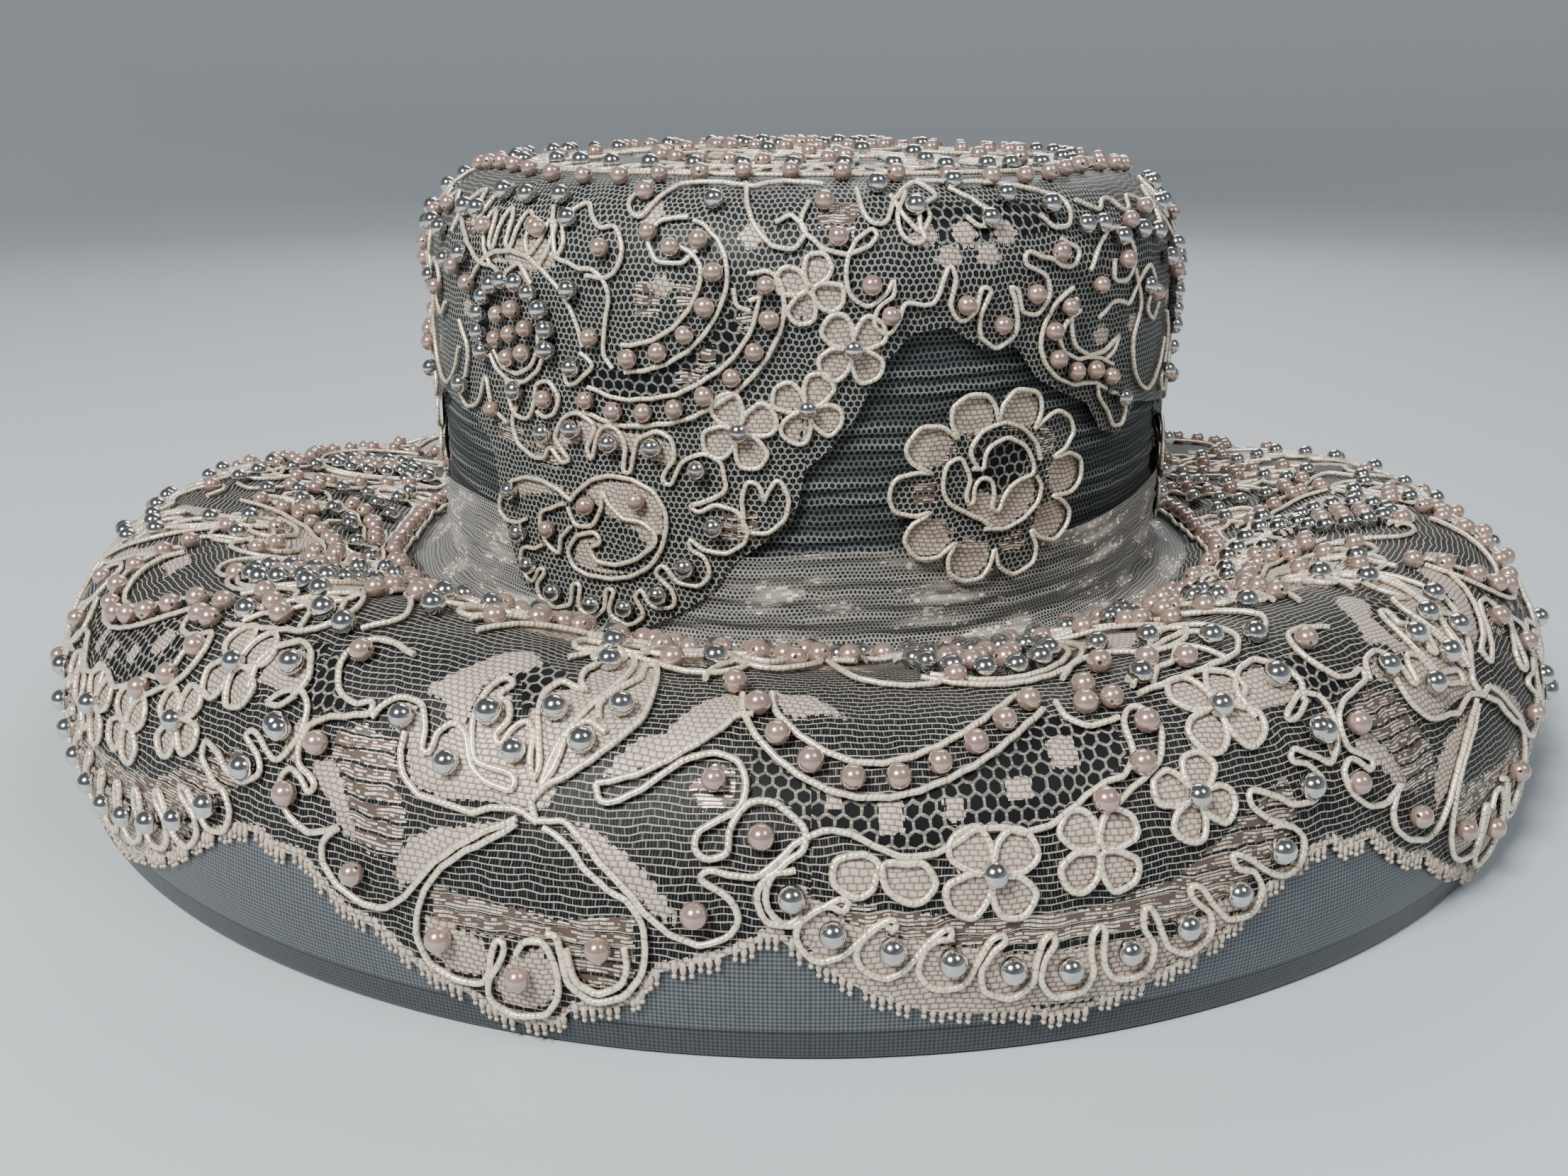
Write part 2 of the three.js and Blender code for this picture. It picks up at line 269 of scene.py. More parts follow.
def finish(name, **values):
    """A material, its graph and its Principled shader. A value is the same all over."""
    material = bpy.data.materials.new(name)
    material.use_nodes = True
    shader = material.node_tree.nodes["Principled BSDF"]
    for key, value in values.items():
        shader.inputs[key.replace("_", " ").title().replace("Ior", "IOR")].default_value = value
    return material, Graph(material.node_tree), shader


def wire_up(graph, shader, **links):
    """What changes over the surface goes into the shader's sockets."""
    for key, wire in links.items():
        graph.tree.links.new(wire.socket, shader.inputs[key.replace("_", " ").title()])


# %% [markdown]
# ## The faces of the hat
# All layers lie on two curved faces, the brim's and the crown's. A face is a section that runs up
# the cloth, swept round an oval. `Face.at` gives the point at a turn round the head, a distance
# up the cloth and a lift out of it, so a pattern that is drawn flat in millimetres can be laid on.

# %% Sizes from the frame, in millimetres
HEAD_HALF_WIDTH, HEAD_HALF_LENGTH = 89, 98.5
HEADLINE_HEIGHT, CROWN_TOP, SHOULDER_HEIGHT, SHOULDER_RADIUS = 35, 132, 112, 17
TOP_RISE, CROWN_TAPER, WALL_HEIGHT = 3, 1, 77
BRIM_WIDTH, RIDGE_RISE, SATIN, CLEARANCE = 95, 16, 2.4, 0.35
VEIL_REACH = 9
BRIM_REPEATS, CROWN_REPEATS = 6, 3
BRIM_SECTION = [  # out, level, rise: shares of the brim's width, the headline and the ridge
    (0.0, 1.0, 0.0), (0.08, 0.98, 0.02), (0.32, 1.0, 0.5), (0.62, 1.0, 1.0),
    (0.82, 1.0, 0.82), (0.955, 0.84, 0.32), (1.0, 0.42, 0.0), (0.985, 0.0, 0.0),
]
BRIM_WAVE = [  # turn in degrees from the front towards the right, rise of the ridge
    (-180, -0.2), (-130, -0.1), (-90, 0.72), (-60, 0.9), (-28, 1.5), (-8, 1.15),
    (12, 1.0), (32, 1.25), (60, 1.05), (90, 0.75), (130, 0.0),
]


def around_table(table, degrees, period=360):
    """A value from a table of turns, which comes round again, eased between its rows."""
    rows = np.array([*table, (table[0][0] + period, table[0][1])], float)
    place = np.mod(np.asarray(degrees, float) - rows[0, 0], period) + rows[0, 0]
    after = np.clip(np.searchsorted(rows[:, 0], place, side="right"), 1, len(rows) - 1)
    share = (place - rows[after - 1, 0]) / (rows[after, 0] - rows[after - 1, 0])
    share = share * share * (3 - 2 * share)
    return rows[after - 1, 1] * (1 - share) + rows[after, 1] * share


def run_along(line):
    """How far along a line each of its points is."""
    return np.concatenate([[0], np.cumsum(np.linalg.norm(np.diff(line, axis=0), axis=1))])


def points_along(line, run, places):
    """The points at these distances along a line."""
    return np.stack([np.interp(places, run, column) for column in line.T], axis=-1)


CURVE_PARTS = 24  # straight parts between two points, before the curve is cut in even steps


def smooth_line(points, step=0.5, closed=False):
    """A centripetal Catmull-Rom curve through the points, in even steps."""
    p = np.asarray(points, float)
    ends = [p[-1:], p, p[:2]] if closed else [2 * p[:1] - p[1:2], p, 2 * p[-1:] - p[-2:-1]]
    p = np.vstack(ends)
    share = np.linspace(0, 1, CURVE_PARTS, endpoint=False)[:, None]
    parts = []
    for a, b, c, d in zip(p, p[1:], p[2:], p[3:]):
        s, t, u = (max(math.dist(m, n), 1e-6) ** 0.5 for m, n in ((a, b), (b, c), (c, d)))
        leave = ((b - a) / s - (c - a) / (s + t) + (c - b) / t) * t
        arrive = ((c - b) / t - (d - b) / (t + u) + (d - c) / u) * t
        parts.append(
            b * (2 * share**3 - 3 * share**2 + 1) + leave * (share**3 - 2 * share**2 + share)
            + c * (3 * share**2 - 2 * share**3) + arrive * (share**3 - share**2)
        )
    line = np.vstack([*parts, p[-2:-1]])
    run = run_along(line)
    return points_along(line, run, np.linspace(0, run[-1], max(3, round(run[-1] / step) + 1)))


def oval(turn, out, height):
    """Points `out` from the head's oval, which keeps its proportions inside it."""
    inward = 1 + np.minimum(out, 0) / HEAD_HALF_WIDTH
    outward = np.maximum(out, 0)
    across = (HEAD_HALF_WIDTH * inward + outward) * np.sin(turn)
    along = -(HEAD_HALF_LENGTH * inward + outward) * np.cos(turn)
    return np.stack(np.broadcast_arrays(across, along, height), axis=-1)


class Face:
    """A face of the hat, looked up by turn, by distance up the cloth and by lift out of it."""

    STEP = 0.5

    def __init__(self, section, reach):
        rows = np.arange(0, reach, self.STEP)
        table, lengths = [], []
        for degrees in range(360):
            line = section(degrees)
            run = run_along(line)
            lengths.append(run[-1])
            beyond = line[-1] + (line[-1] - line[-2]) * (reach / (run[-1] - run[-2]))
            run, line = np.append(run, run[-1] + reach), np.vstack([line, beyond])
            place = points_along(line, run, rows)
            rise = np.gradient(place, axis=0)
            rise /= np.linalg.norm(rise, axis=1, keepdims=True)
            table.append(np.hstack([place, rise[:, 1:2], -rise[:, 0:1]]))
        self.table, self.lengths = np.array(table), np.array(lengths)

    def at(self, turn, up, lift=0.0):
        turn, up, lift = np.broadcast_arrays(turn, up, lift)
        side = np.mod(np.degrees(turn), 360)
        i = np.floor(side).astype(int) % 360
        row = np.clip(up / self.STEP, 0, self.table.shape[1] - 1.001)
        j = np.floor(row).astype(int)
        s, t = (side - np.floor(side))[..., None], (row - j)[..., None]
        n = (i + 1) % 360
        low = self.table[i, j] * (1 - t) + self.table[i, j + 1] * t
        high = self.table[n, j] * (1 - t) + self.table[n, j + 1] * t
        out, height, out_lift, height_lift = np.moveaxis(low * (1 - s) + high * s, -1, 0)
        return oval(turn, out + lift * out_lift, height + lift * height_lift)

    def length(self, turn):
        """How long the cloth is from its foot to the end of the section, at a turn."""
        lengths = np.append(self.lengths, self.lengths[0])
        return np.interp(np.mod(np.degrees(turn), 360), np.arange(361), lengths)


def brim_section(degrees):
    """From the edge up over the roll and down into the valley at the headline."""
    rise = RIDGE_RISE * around_table(BRIM_WAVE, degrees)
    start = SATIN + CLEARANCE
    points = [(start + (BRIM_WIDTH - start) * out, HEADLINE_HEIGHT * level + rise * up)
              for out, level, up in BRIM_SECTION]
    return smooth_line(points[::-1])


def wall_out(height):
    return SATIN - CROWN_TAPER * (height - HEADLINE_HEIGHT) / WALL_HEIGHT


def crown_section(degrees):
    """From the headline up the wall, over the shoulder and in to the middle: the same all round."""
    middle = wall_out(SHOULDER_HEIGHT) - SHOULDER_RADIUS
    wall = [(wall_out(h), h) for h in np.arange(HEADLINE_HEIGHT, SHOULDER_HEIGHT, 2)]
    bend = arc(middle, SHOULDER_HEIGHT, SHOULDER_RADIUS, np.linspace(0, math.pi / 2, 12))
    top = [(middle + (-HEAD_HALF_WIDTH - middle) * s, CROWN_TOP - TOP_RISE * (1 - s) ** 2)
           for s in np.linspace(0, 1, 16)[1:]]
    return np.array(wall + bend + top)


def slow_waves(turn, seed):
    """A gentle wander round the hat, the same on each run."""
    chance = np.random.default_rng(seed)
    return sum(chance.uniform(0.5, 1) / k * np.sin(k * turn + chance.uniform(0, TAU))
               for k in (1, 2, 3, 4))


class GatheredFace:
    """A face whose cloth rises in gathers, deeper towards the crown, where it has to narrow."""

    DEEPEST, START, SPAN = 1.5, 58.0, 50.0

    def __init__(self, face):
        self.face = face

    def at(self, turn, up, lift=0.0):
        up = np.asarray(up)
        share = np.clip((up - self.START) / self.SPAN, 0, 1)
        fine = np.sin(74 * turn + 2.5 * slow_waves(turn * 3, 31))
        folds = 0.55 * fine + 0.45 * np.sin(47 * turn + up / 14)
        return self.face.at(turn, up, lift + self.DEEPEST * share * share * (0.5 + 0.5 * folds))


brim_face = Face(brim_section, 160)
brim_cover = GatheredFace(brim_face)
crown_face = Face(crown_section, 200)
CROWN_REACH = float(crown_face.lengths[0])
print("cloth from edge to headline", round(float(brim_face.lengths.mean()), 1), "mm")
print("cloth up the crown", round(CROWN_REACH, 1), "mm")

# %% [markdown]
# ## Cloth as grids
# Each layer is one grid of points: columns go round the hat and rows run up the cloth. The grid
# keeps a UV map called `flat`, in metres on the cloth, so a weave has the same thread size all
# over. A value at each point, such as how far it is inside a woven leaf, travels as an attribute.

# %% From a grid of points to a piece


def hat_piece(obj, material, slot):
    """A finished mesh becomes a piece of the hat."""
    obj.data.materials.clear()
    obj.data.materials.append(material)
    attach(obj, "root")
    triangles = sum(len(face.vertices) - 2 for face in obj.data.polygons)
    print(f"{obj.name}: {triangles} triangles")
    return obj


def cloth_mesh(name, points, around, up, tube=False, values=None):
    """A grid that closes round the hat; as a tube it closes along its section too."""
    columns, rows = points.shape[:2]
    i = np.arange(columns)[:, None]
    j = np.arange(rows if tube else rows - 1)[None, :]
    n, m = (i + 1) % columns, (j + 1) % rows
    corners = [(i, j, i), (n, j, i + 1), (n, m, i + 1), (i, m, i)]
    faces = np.stack(np.broadcast_arrays(*(c * rows + r for c, r, _ in corners)), -1)
    mesh = bpy.data.meshes.new(name)
    mesh.from_pydata((points.reshape(-1, 3) * MM).tolist(), [], faces.reshape(-1, 4).tolist())
    up = np.broadcast_to(up, (columns, rows))
    across = [around[turn] if np.ndim(around) == 1 else around[c, r] for c, r, turn in corners]
    flat = [np.stack(np.broadcast_arrays(a, up[c, r]), -1) for a, (c, r, _) in zip(across, corners)]
    flat = (np.stack(flat, 2) * MM).astype(np.float32)
    mesh.uv_layers.new(name="flat").data.foreach_set("uv", flat.ravel())
    for key, value in (values or {}).items():
        value = np.broadcast_to(value, (columns, rows)).astype(np.float32)
        mesh.attributes.new(key, "FLOAT", "POINT").data.foreach_set("value", value.ravel())
    mesh.shade_smooth()
    mesh.validate()
    return added(name, mesh)


def weld(obj):
    """Closes the pole of a shell, where whole rows fall on one point."""
    shell = bmesh.new()
    shell.from_mesh(obj.data)
    bmesh.ops.remove_doubles(shell, verts=shell.verts, dist=1e-6)
    bmesh.ops.dissolve_degenerate(shell, edges=shell.edges, dist=1e-7)
    shell.to_mesh(obj.data)
    shell.free()
    return obj


# %% [markdown]
# ## Satin
# The crown and the brim are stiffened satin. Up close it is a twill: fine diagonal ribs that catch
# the light in short streaks, and this catch of the light is painted into the colour as painted
# sheen, bright over a nearly black ground. The hem is a folded band that is drawn darker, and the
# line above it is painted shade of its crease. Ribs that are finer than a picture point would only
# flicker, so they are soft and shallow.

# %% The satin finish
TWILL = 1.5  # mm from rib to rib
HEM_HEIGHT = 6.0


def flat_place(graph):
    """Where a point lies on the cloth, in millimetres round and up."""
    uv = graph.node("ShaderNodeUVMap", {"uv_map": "flat"})["UV"]
    parts = graph.split(uv)
    return uv, parts["X"] * 1000, parts["Y"] * 1000


def noise(graph, vector, scale, detail=2.0):
    """Cloudy values from 0 to 1."""
    return graph.node("ShaderNodeTexNoise", {"noise_dimensions": "3D"},
                      {"Vector": vector, "Scale": scale, "Detail": detail})["Fac"]


def stretched_noise(graph, vector, across, up, detail=2.0, turn=0.0):
    """Clouds that are drawn out along one way of the cloth."""
    place = graph.node("ShaderNodeMapping", {}, {
        "Vector": vector, "Scale": (across, up, 1), "Rotation": (0, 0, turn)})["Vector"]
    return noise(graph, place, 1.0, detail)


def cell_chance(graph, x, y, wide, tall):
    """A value from 0 to 1 for each cell of a grid."""
    cell = graph.node("ShaderNodeCombineXYZ", {}, [(x / wide).floor(), (y / tall).floor()])
    return graph.node("ShaderNodeTexWhiteNoise", {"noise_dimensions": "2D"},
                      {"Vector": cell["Vector"]})["Value"]


def bump(graph, height, depth, strength=1.0):
    values = {"Strength": strength, "Distance": depth * MM, "Height": height}
    return graph.node("ShaderNodeBump", {}, values)["Normal"]


def satin_finish(name, hem):
    material, graph, shader = finish(name, metallic=0.55, specular_ior_level=0.3)
    uv, x, y = flat_place(graph)
    rib_light_and_shade = ((x + y) * (TAU / TWILL)).sine() * ((x - y) * (TAU / TWILL)).sine() * 0.5 + 0.5
    sheen_streak = stretched_noise(graph, uv, 900, 300, turn=0.66)
    cloud = noise(graph, uv, 28.0)
    # Painted sheen: the twill ribs and streaks are painted bright over a nearly black ground, where
    # the satin would catch the light.
    sheen_and_shade_colour = graph.mix(rib_light_and_shade * 0.75 + sheen_streak * 0.25, rgb(12, 13, 16), rgb(128, 133, 137))
    sheen_and_shade_colour = graph.mix(cloud * 0.3, sheen_and_shade_colour, rgb(48, 52, 56))
    if hem:
        # The hem band is drawn darker; the thin dark line above it is painted shade of the hem's
        # crease.
        band = (y < HEM_HEIGHT) * (y > 0.2)
        stitch_and_crease_shade = (y > HEM_HEIGHT - 0.4) * (y < HEM_HEIGHT + 0.2)
        sheen_and_shade_colour = graph.mix(band * 0.5 + stitch_and_crease_shade * 0.3, sheen_and_shade_colour, rgb(38, 39, 42))
    wire_up(graph, shader, base_color=sheen_and_shade_colour, roughness=0.30 + sheen_streak * 0.22,
            normal=bump(graph, rib_light_and_shade + sheen_streak * 0.6, 0.06, 0.6))
    return material


satin = satin_finish("grey satin", hem=True)
crown_satin = satin_finish("grey crown satin", hem=False)

# %% The satin crown and brim
SATIN_COLUMNS = 300
BRIM_RADIUS, CROWN_RADIUS = 186.0, 96.0  # where the cloth's way round is measured
HALF = SATIN / 2


def length_round(radius, columns):
    """How far round the hat each column is at this radius, and once more where it closes."""
    return np.arange(columns + 1) * TAU * radius / columns


def satin_shell(name, face, shares, radius, foot):
    """A shell with the satin's thickness: round the foot, up the outside, back down the inside."""
    turns = even_turns(SATIN_COLUMNS)[:, None]
    start = foot[-1][1]
    outside = start + shares * (face.length(turns) - start)
    painted_rim_highlight = np.broadcast_to([up for _, up in foot], (SATIN_COLUMNS, len(foot)))
    ups = np.hstack([painted_rim_highlight, outside, outside[:, ::-1]])
    lifts = np.array([lift for lift, _ in foot] + [0.0] * len(shares) + [-SATIN] * len(shares))
    around = length_round(radius, SATIN_COLUMNS)
    return cloth_mesh(name, face.at(turns, ups, lifts), around, ups, tube=True)


hem = arc(-HALF, HALF, HALF, np.linspace(-math.pi, 0, 6)[1:])
shares = np.concatenate([np.linspace(0.012, 0.25, 15), np.linspace(0.28, 1, 23)])
brim = satin_shell("brim_satin", brim_face, shares, BRIM_RADIUS, hem)
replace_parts(hat_piece(brim, satin, "satin"), "brim")

foot = [(-SATIN, -SATIN), (0.0, -SATIN), (0.0, 0.0)]
shares = np.concatenate([
    np.linspace(0.04, 0.42, 8), np.linspace(0.44, 0.61, 10), np.linspace(0.64, 1, 10)])
crown = satin_shell("crown_satin", crown_face, shares, CROWN_RADIUS, foot)
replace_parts(hat_piece(weld(crown), crown_satin, "satin"), "crown")

# %% [markdown]
# ## Pleated tulle and the gathered veil
# Tulle is a net of tiny six-sided holes. Wrapped round the crown in soft pleats it is painted
# darker in the creases and lighter on the crests, painted shade and light, and is more see-through
# on the crests. The holes are made by the finish, with Alpha, because a million real holes would
# look the same and cost far more.
# The pleats and the veil's gathers are real folds in the mesh, because they make the shadows.

# %% Nets


def six_sided_net(x, y, cell, thread):
    """1 on the threads of a honeycomb net, 0 in its holes."""

    def from_cell_middle(shift):
        across = (x / cell + shift).off_middle()
        up = (y / (cell * 3**0.5) + shift).off_middle() * 3**0.5
        return across.either(across * 0.5 + up * 0.866)

    return from_cell_middle(0.0).both(from_cell_middle(0.5)) > 0.5 - thread / 2


def wander(graph, uv, x, y, reach, scale):
    """Moves a pattern's lines a little, as threads by hand are never quite even."""
    cloud = graph.node("ShaderNodeTexNoise", {}, {"Vector": uv, "Scale": scale, "Detail": 1.0})
    push = graph.split(cloud["Color"])
    return x + (push["X"] - 0.5) * reach, y + (push["Y"] - 0.5) * reach


def tulle_finish():
    material, graph, shader = finish("slate tulle", roughness=0.7, specular_ior_level=0.2)
    uv, x, y = flat_place(graph)
    x, y = wander(graph, uv, x, y, 1.2, 160.0)
    threads = six_sided_net(x, y, 1.3, 0.30)
    pleat_and_shade = graph.attribute("pleat_and_shade")
    # Painted shade in the pleats' creases and painted light on their crests.
    colour = graph.mix(pleat_and_shade, rgb(50, 56, 58), rgb(116, 122, 120))
    colour = graph.mix(noise(graph, uv, 60.0) * 0.4, colour, rgb(86, 88, 86))
    colour = graph.mix(threads, rgb(16, 20, 23), colour)
    wire_up(graph, shader, base_color=colour, alpha=threads.either(0.88 - pleat_and_shade * 0.2),
            normal=bump(graph, threads, 0.12, 0.5))
    return material


def veil_finish():
    """Fine net with woven patches and glints, as of the lace behind it."""
    material, graph, shader = finish("sheer veil", roughness=0.6, sheen_weight=0.4)
    uv, x, y = flat_place(graph)
    x, y = wander(graph, uv, x, y, 1.6, 90.0)
    threads = six_sided_net(x, y, 1.0, 0.34)
    patch = (stretched_noise(graph, uv, 45, 130, 3.0) - 0.5) * 6 + 0.1
    patch = patch.both(1.0).either(0.0)
    glint = (cell_chance(graph, x, y, 1.1, 0.55) > 0.84) * (patch > 0.3)
    colour = graph.mix(threads, rgb(62, 65, 64), rgb(140, 138, 130))
    colour = graph.mix(patch * 0.75, colour, rgb(158, 151, 140))
    colour = graph.mix(glint, colour, rgb(235, 226, 214))
    cover = (threads * 0.62).either(patch * 0.8).either(glint) + 0.18
    wire_up(graph, shader, base_color=colour, alpha=cover, metallic=glint * 0.7,
            normal=bump(graph, threads * 0.5 + patch, 0.1, 0.5))
    return material


tulle, veil = tulle_finish(), veil_finish()

# %% The tulle's pleats
TULLE_COLUMNS, TULLE_ROWS = 240, 110
TULLE_FOOT, TULLE_TOP = 14.0, 80.0  # up the crown from the headline
TULLE_LIFT, PLEAT_DEPTH = 0.55, 0.85
PLEAT = 3.7  # mm of wall to a pleat


def pleated(turn, up):
    """0 in a crease and 1 on a crest: each pleat rises slowly and falls steeply."""
    place = up / PLEAT + 0.75 * slow_waves(turn, 3) + 0.16 * slow_waves(turn * 7, 5)
    share = np.mod(place, 1.0)
    soft = 0.62 + 0.38 * np.sin(place * 1.9 + 3 * slow_waves(turn * 2, 9))
    return (0.5 - 0.5 * np.cos(TAU * share**0.55)) * soft


turns = even_turns(TULLE_COLUMNS)[:, None]
ups = np.broadcast_to(np.linspace(TULLE_FOOT, TULLE_TOP, TULLE_ROWS), (TULLE_COLUMNS, TULLE_ROWS))
pleat_and_shade = pleated(turns, ups)
points = crown_face.at(turns, ups, TULLE_LIFT + PLEAT_DEPTH * pleat_and_shade)
tulle_wrap = cloth_mesh("tulle_pleats", points, length_round(CROWN_RADIUS, TULLE_COLUMNS), ups,
                        values={"pleat_and_shade": pleat_and_shade})
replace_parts(hat_piece(tulle_wrap, tulle, "tulle"), "tulle_wrap")

# %% The veil
VEIL_COLUMNS, VEIL_ROWS = 300, 44
VEIL_TOP = 25.0  # mm up the wall: its loose edge lies on the tulle
VEIL_LENGTH = 36  # mm from edge to edge
GATHER_DEPTH, VEIL_LIFT = 0.36, 0.3


def veil_line(turn):
    """From the brim's valley, up over the foot of the crown, to the loose edge on the wall."""
    length = float(brim_face.length(turn))
    on_brim = [brim_face.at(turn, length - back, 0.7) for back in (SATIN + VEIL_REACH, 7.5)]
    top = VEIL_TOP - 1.5 + 1.6 * float(slow_waves(turn * 3, 21))
    on_wall = [crown_face.at(turn, up, 1.2 + 0.05 * up) for up in (3.5, 9.0, 16.0, top)]
    line = smooth_line(np.array([*on_brim, *on_wall]), step=0.4)
    return line[np.linspace(0, len(line) - 1, VEIL_ROWS).round().astype(int)]


def wave_column(turns, pace, seed):
    return slow_waves(turns * pace, seed)[:, None]


turns = even_turns(VEIL_COLUMNS)
grid = np.array([veil_line(turn) for turn in turns])
share = np.linspace(0, 1, VEIL_ROWS)[None, :]
gather = np.sin(share * 40 + 2.5 * wave_column(turns, 1, 11) + 1.4 * wave_column(turns, 9, 13))
gather = gather + 0.7 * np.sin(share * 71 + 3 * wave_column(turns, 4, 17))
gather = gather * np.sin(math.pi * share) ** 0.5 * GATHER_DEPTH
outward = np.stack([np.sin(turns), -np.cos(turns), 0 * turns], -1)[:, None, :]
grid = grid + outward * (gather + VEIL_LIFT)[..., None]
veil_band = cloth_mesh("veil_gathers", grid, length_round(CROWN_RADIUS, VEIL_COLUMNS),
                       np.linspace(0, VEIL_LENGTH, VEIL_ROWS)[None, :])
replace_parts(hat_piece(veil_band, veil, "veil"), "veil_band")

# %% [markdown]
# ## The pattern, drawn flat
# Lace is designed on paper: one repeat, in millimetres, that comes round again. The brim's repeat
# is a sixth of the way round, the crown's a third. Each drawing holds cords, pearls, silver
# beads and the outlines of what is woven between them: close leaves, open net and glitter. Small
# functions draw what has a rule: a flower is four petals, a strand is pearls between two cords,
# and a meander dips round each bead and climbs in a narrow loop before the next.

# %% Drawing lace


class Drawing:
    """One repeat of a lace pattern, in millimetres across and up."""

    CORD_STEP, LEAF_STEP, STRAND_STEP = 0.75, 1.5, 0.5
    STRAND_POINTS, STRAND_SIDE = 8, 2.7  # steps from point to point of its cords; mm to each cord
    PETAL = [(0.14, -40), (0.55, -38), (0.9, -24), (1.0, 0), (0.9, 24), (0.55, 38), (0.14, 40)]
    DIP = [(-0.85, -0.35), (-1, 0.3), (-0.62, 0.86), (0, 1), (0.62, 0.86), (1, 0.3), (0.85, -0.35)]

    def __init__(self, fit=lambda points: np.asarray(points, float)):
        self.fit = fit
        self.cords, self.pearls, self.silver = [], [], []
        self.leaves, self.open, self.glitter = [], [], []

    def cord(self, *points, closed=False):
        self.cords.append(smooth_line(self.fit(points), self.CORD_STEP, closed))

    def loop(self, *points, leaf=True):
        """A closed cord, filled with close weave."""
        self.cord(*points, closed=True)
        if leaf:
            self.leaf(*points)

    def leaf(self, *points):
        self.leaves.append(smooth_line(self.fit(points), self.LEAF_STEP, closed=True))

    def shape(self, kind, *points):
        """A woven area with straight sides: `leaves`, `open` or `glitter`."""
        getattr(self, kind).append(self.fit(points))

    def block(self, kind, left, low, wide, tall):
        right, top = left + wide, low + tall
        self.shape(kind, (left, low), (right, low), (right, top), (left, top))

    def pearl(self, *points):
        self.pearls.extend(self.fit(points))

    def bead(self, *points):
        self.silver.extend(self.fit(points))

    def flower(self, x, y, reach=8.0, turn=20.0, bead=True):
        """Four petals of corded weave round a silver bead."""
        for quarter in (0, 90, 180, 270):
            self.loop(*[arc(x, y, r * reach, [math.radians(turn + quarter + a)])[0]
                        for r, a in self.PETAL])
        if bead:
            self.bead((x, y))

    def strand(self, *points, gap=7.4):
        """Pearls in a row between two cords."""
        line = smooth_line(points, self.STRAND_STEP)
        run = np.gradient(line, axis=0)
        run /= np.linalg.norm(run, axis=1, keepdims=True)
        across = np.stack([-run[:, 1], run[:, 0]], -1) * self.STRAND_SIDE
        for way in (1, -1):
            self.cord(*(line + across * way)[::self.STRAND_POINTS])
        step = max(2, round(gap / self.STRAND_STEP))
        self.pearl(*line[step // 2 :: step])

    def meander(self, middle, *beads, reach=4.1, dip=5.2, climb=5.6):
        """A cord that dips round each silver bead, on the side away from `middle`."""
        path = []
        beads = np.array(beads, float)
        for i, bead in enumerate(beads):
            down = bead - np.array(middle)
            down /= np.linalg.norm(down)
            side = np.array([-down[1], down[0]])
            path += [bead + side * s * reach + down * d * dip for s, d in self.DIP]
            if i + 1 < len(beads):
                between = (bead + beads[i + 1]) / 2
                loop = ((-0.9, climb - 1.2), (0, climb), (0.9, climb - 1.2))
                path += [between + side * s - down * d for s, d in loop]
        self.cord(*path)
        self.bead(*beads)

    def tell(self, name):
        print(name, "repeat:", len(self.cords), "cords,", len(self.pearls), "pearls,",
              len(self.silver), "silver beads")


FAR_OUTSIDE = -3.0  # mm: no point needs to know that it is farther from a shape


def depth_inside(points, outline):
    """How far points lie inside an outline, in mm, and less than 0 outside it."""
    x, y = points[..., 0], points[..., 1]
    inside = np.zeros(points.shape[:-1], bool)
    nearest = np.full(points.shape[:-1], np.inf)
    for a, b in zip(outline, np.roll(outline, -1, axis=0)):
        edge = b - a
        share = np.clip(((points - a) @ edge) / max(edge @ edge, 1e-9), 0, 1)
        distance = np.linalg.norm(points - a - share[..., None] * edge, axis=-1)
        nearest = np.minimum(nearest, distance)
        if a[1] != b[1]:
            spans = (a[1] > y) != (b[1] > y)
            inside ^= spans & (x < (b[0] - a[0]) * (y - a[1]) / (b[1] - a[1]) + a[0])
    return np.where(inside, nearest, -nearest)


def deepest(points, outlines):
    """How far points lie inside the nearest of several outlines."""
    depth = np.full(points.shape[:-1], FAR_OUTSIDE)
    for outline in outlines:
        low, high = outline.min(0) + FAR_OUTSIDE, outline.max(0) - FAR_OUTSIDE
        near = ((points >= low) & (points <= high)).all(-1)
        depth[near] = np.maximum(depth[near], depth_inside(points[near], outline))
    return depth


# %% The brim's repeat


def fit_brim(points):
    """The pattern was drawn a little narrow: this spreads it over a sixth of the brim."""
    points = np.array(points, float)
    points[..., 0] *= np.where(points[..., 0] < 0, 1.045, 1.10)
    return points


def inner(*points):
    """Places on the brim's inner slope, where the way round is shorter than at the roll."""
    return [(x * 1.4, up) for x, up in points]


brim_lace = Drawing(fit_brim)

# The petal scallop: two long cords cross over it and run down into three lobes.
brim_lace.cord(
    (-46.5, 38), (-50, 35.5), (-55, 32.5), (-59, 29), (-61.5, 25), (-62.7, 21), (-62.8, 17),
    (-60.5, 13), (-56.5, 11.2), (-52.5, 11), (-50.4, 13), (-49.8, 16.5), (-48.6, 19.3),
    (-47.6, 18.8), (-48.3, 15.5), (-50.2, 12.5), (-50.6, 9), (-48.5, 6.6), (-45, 6.1), (-41.5, 7.2),
    (-39.2, 10.5), (-38.8, 14.5), (-39.8, 18), (-41.6, 20.2), (-44, 19.8), (-45.6, 17.5)
)
brim_lace.cord(
    (-46.5, 38.8), (-51, 36.6), (-56, 33.4), (-60.5, 29.5), (-63.5, 25.5), (-66.5, 22.3),
    (-70.5, 20.6), (-74.5, 21.3), (-78.5, 23.2), (-81, 26), (-81.3, 28.8), (-79.8, 31.3),
    (-78.5, 32.2)
)
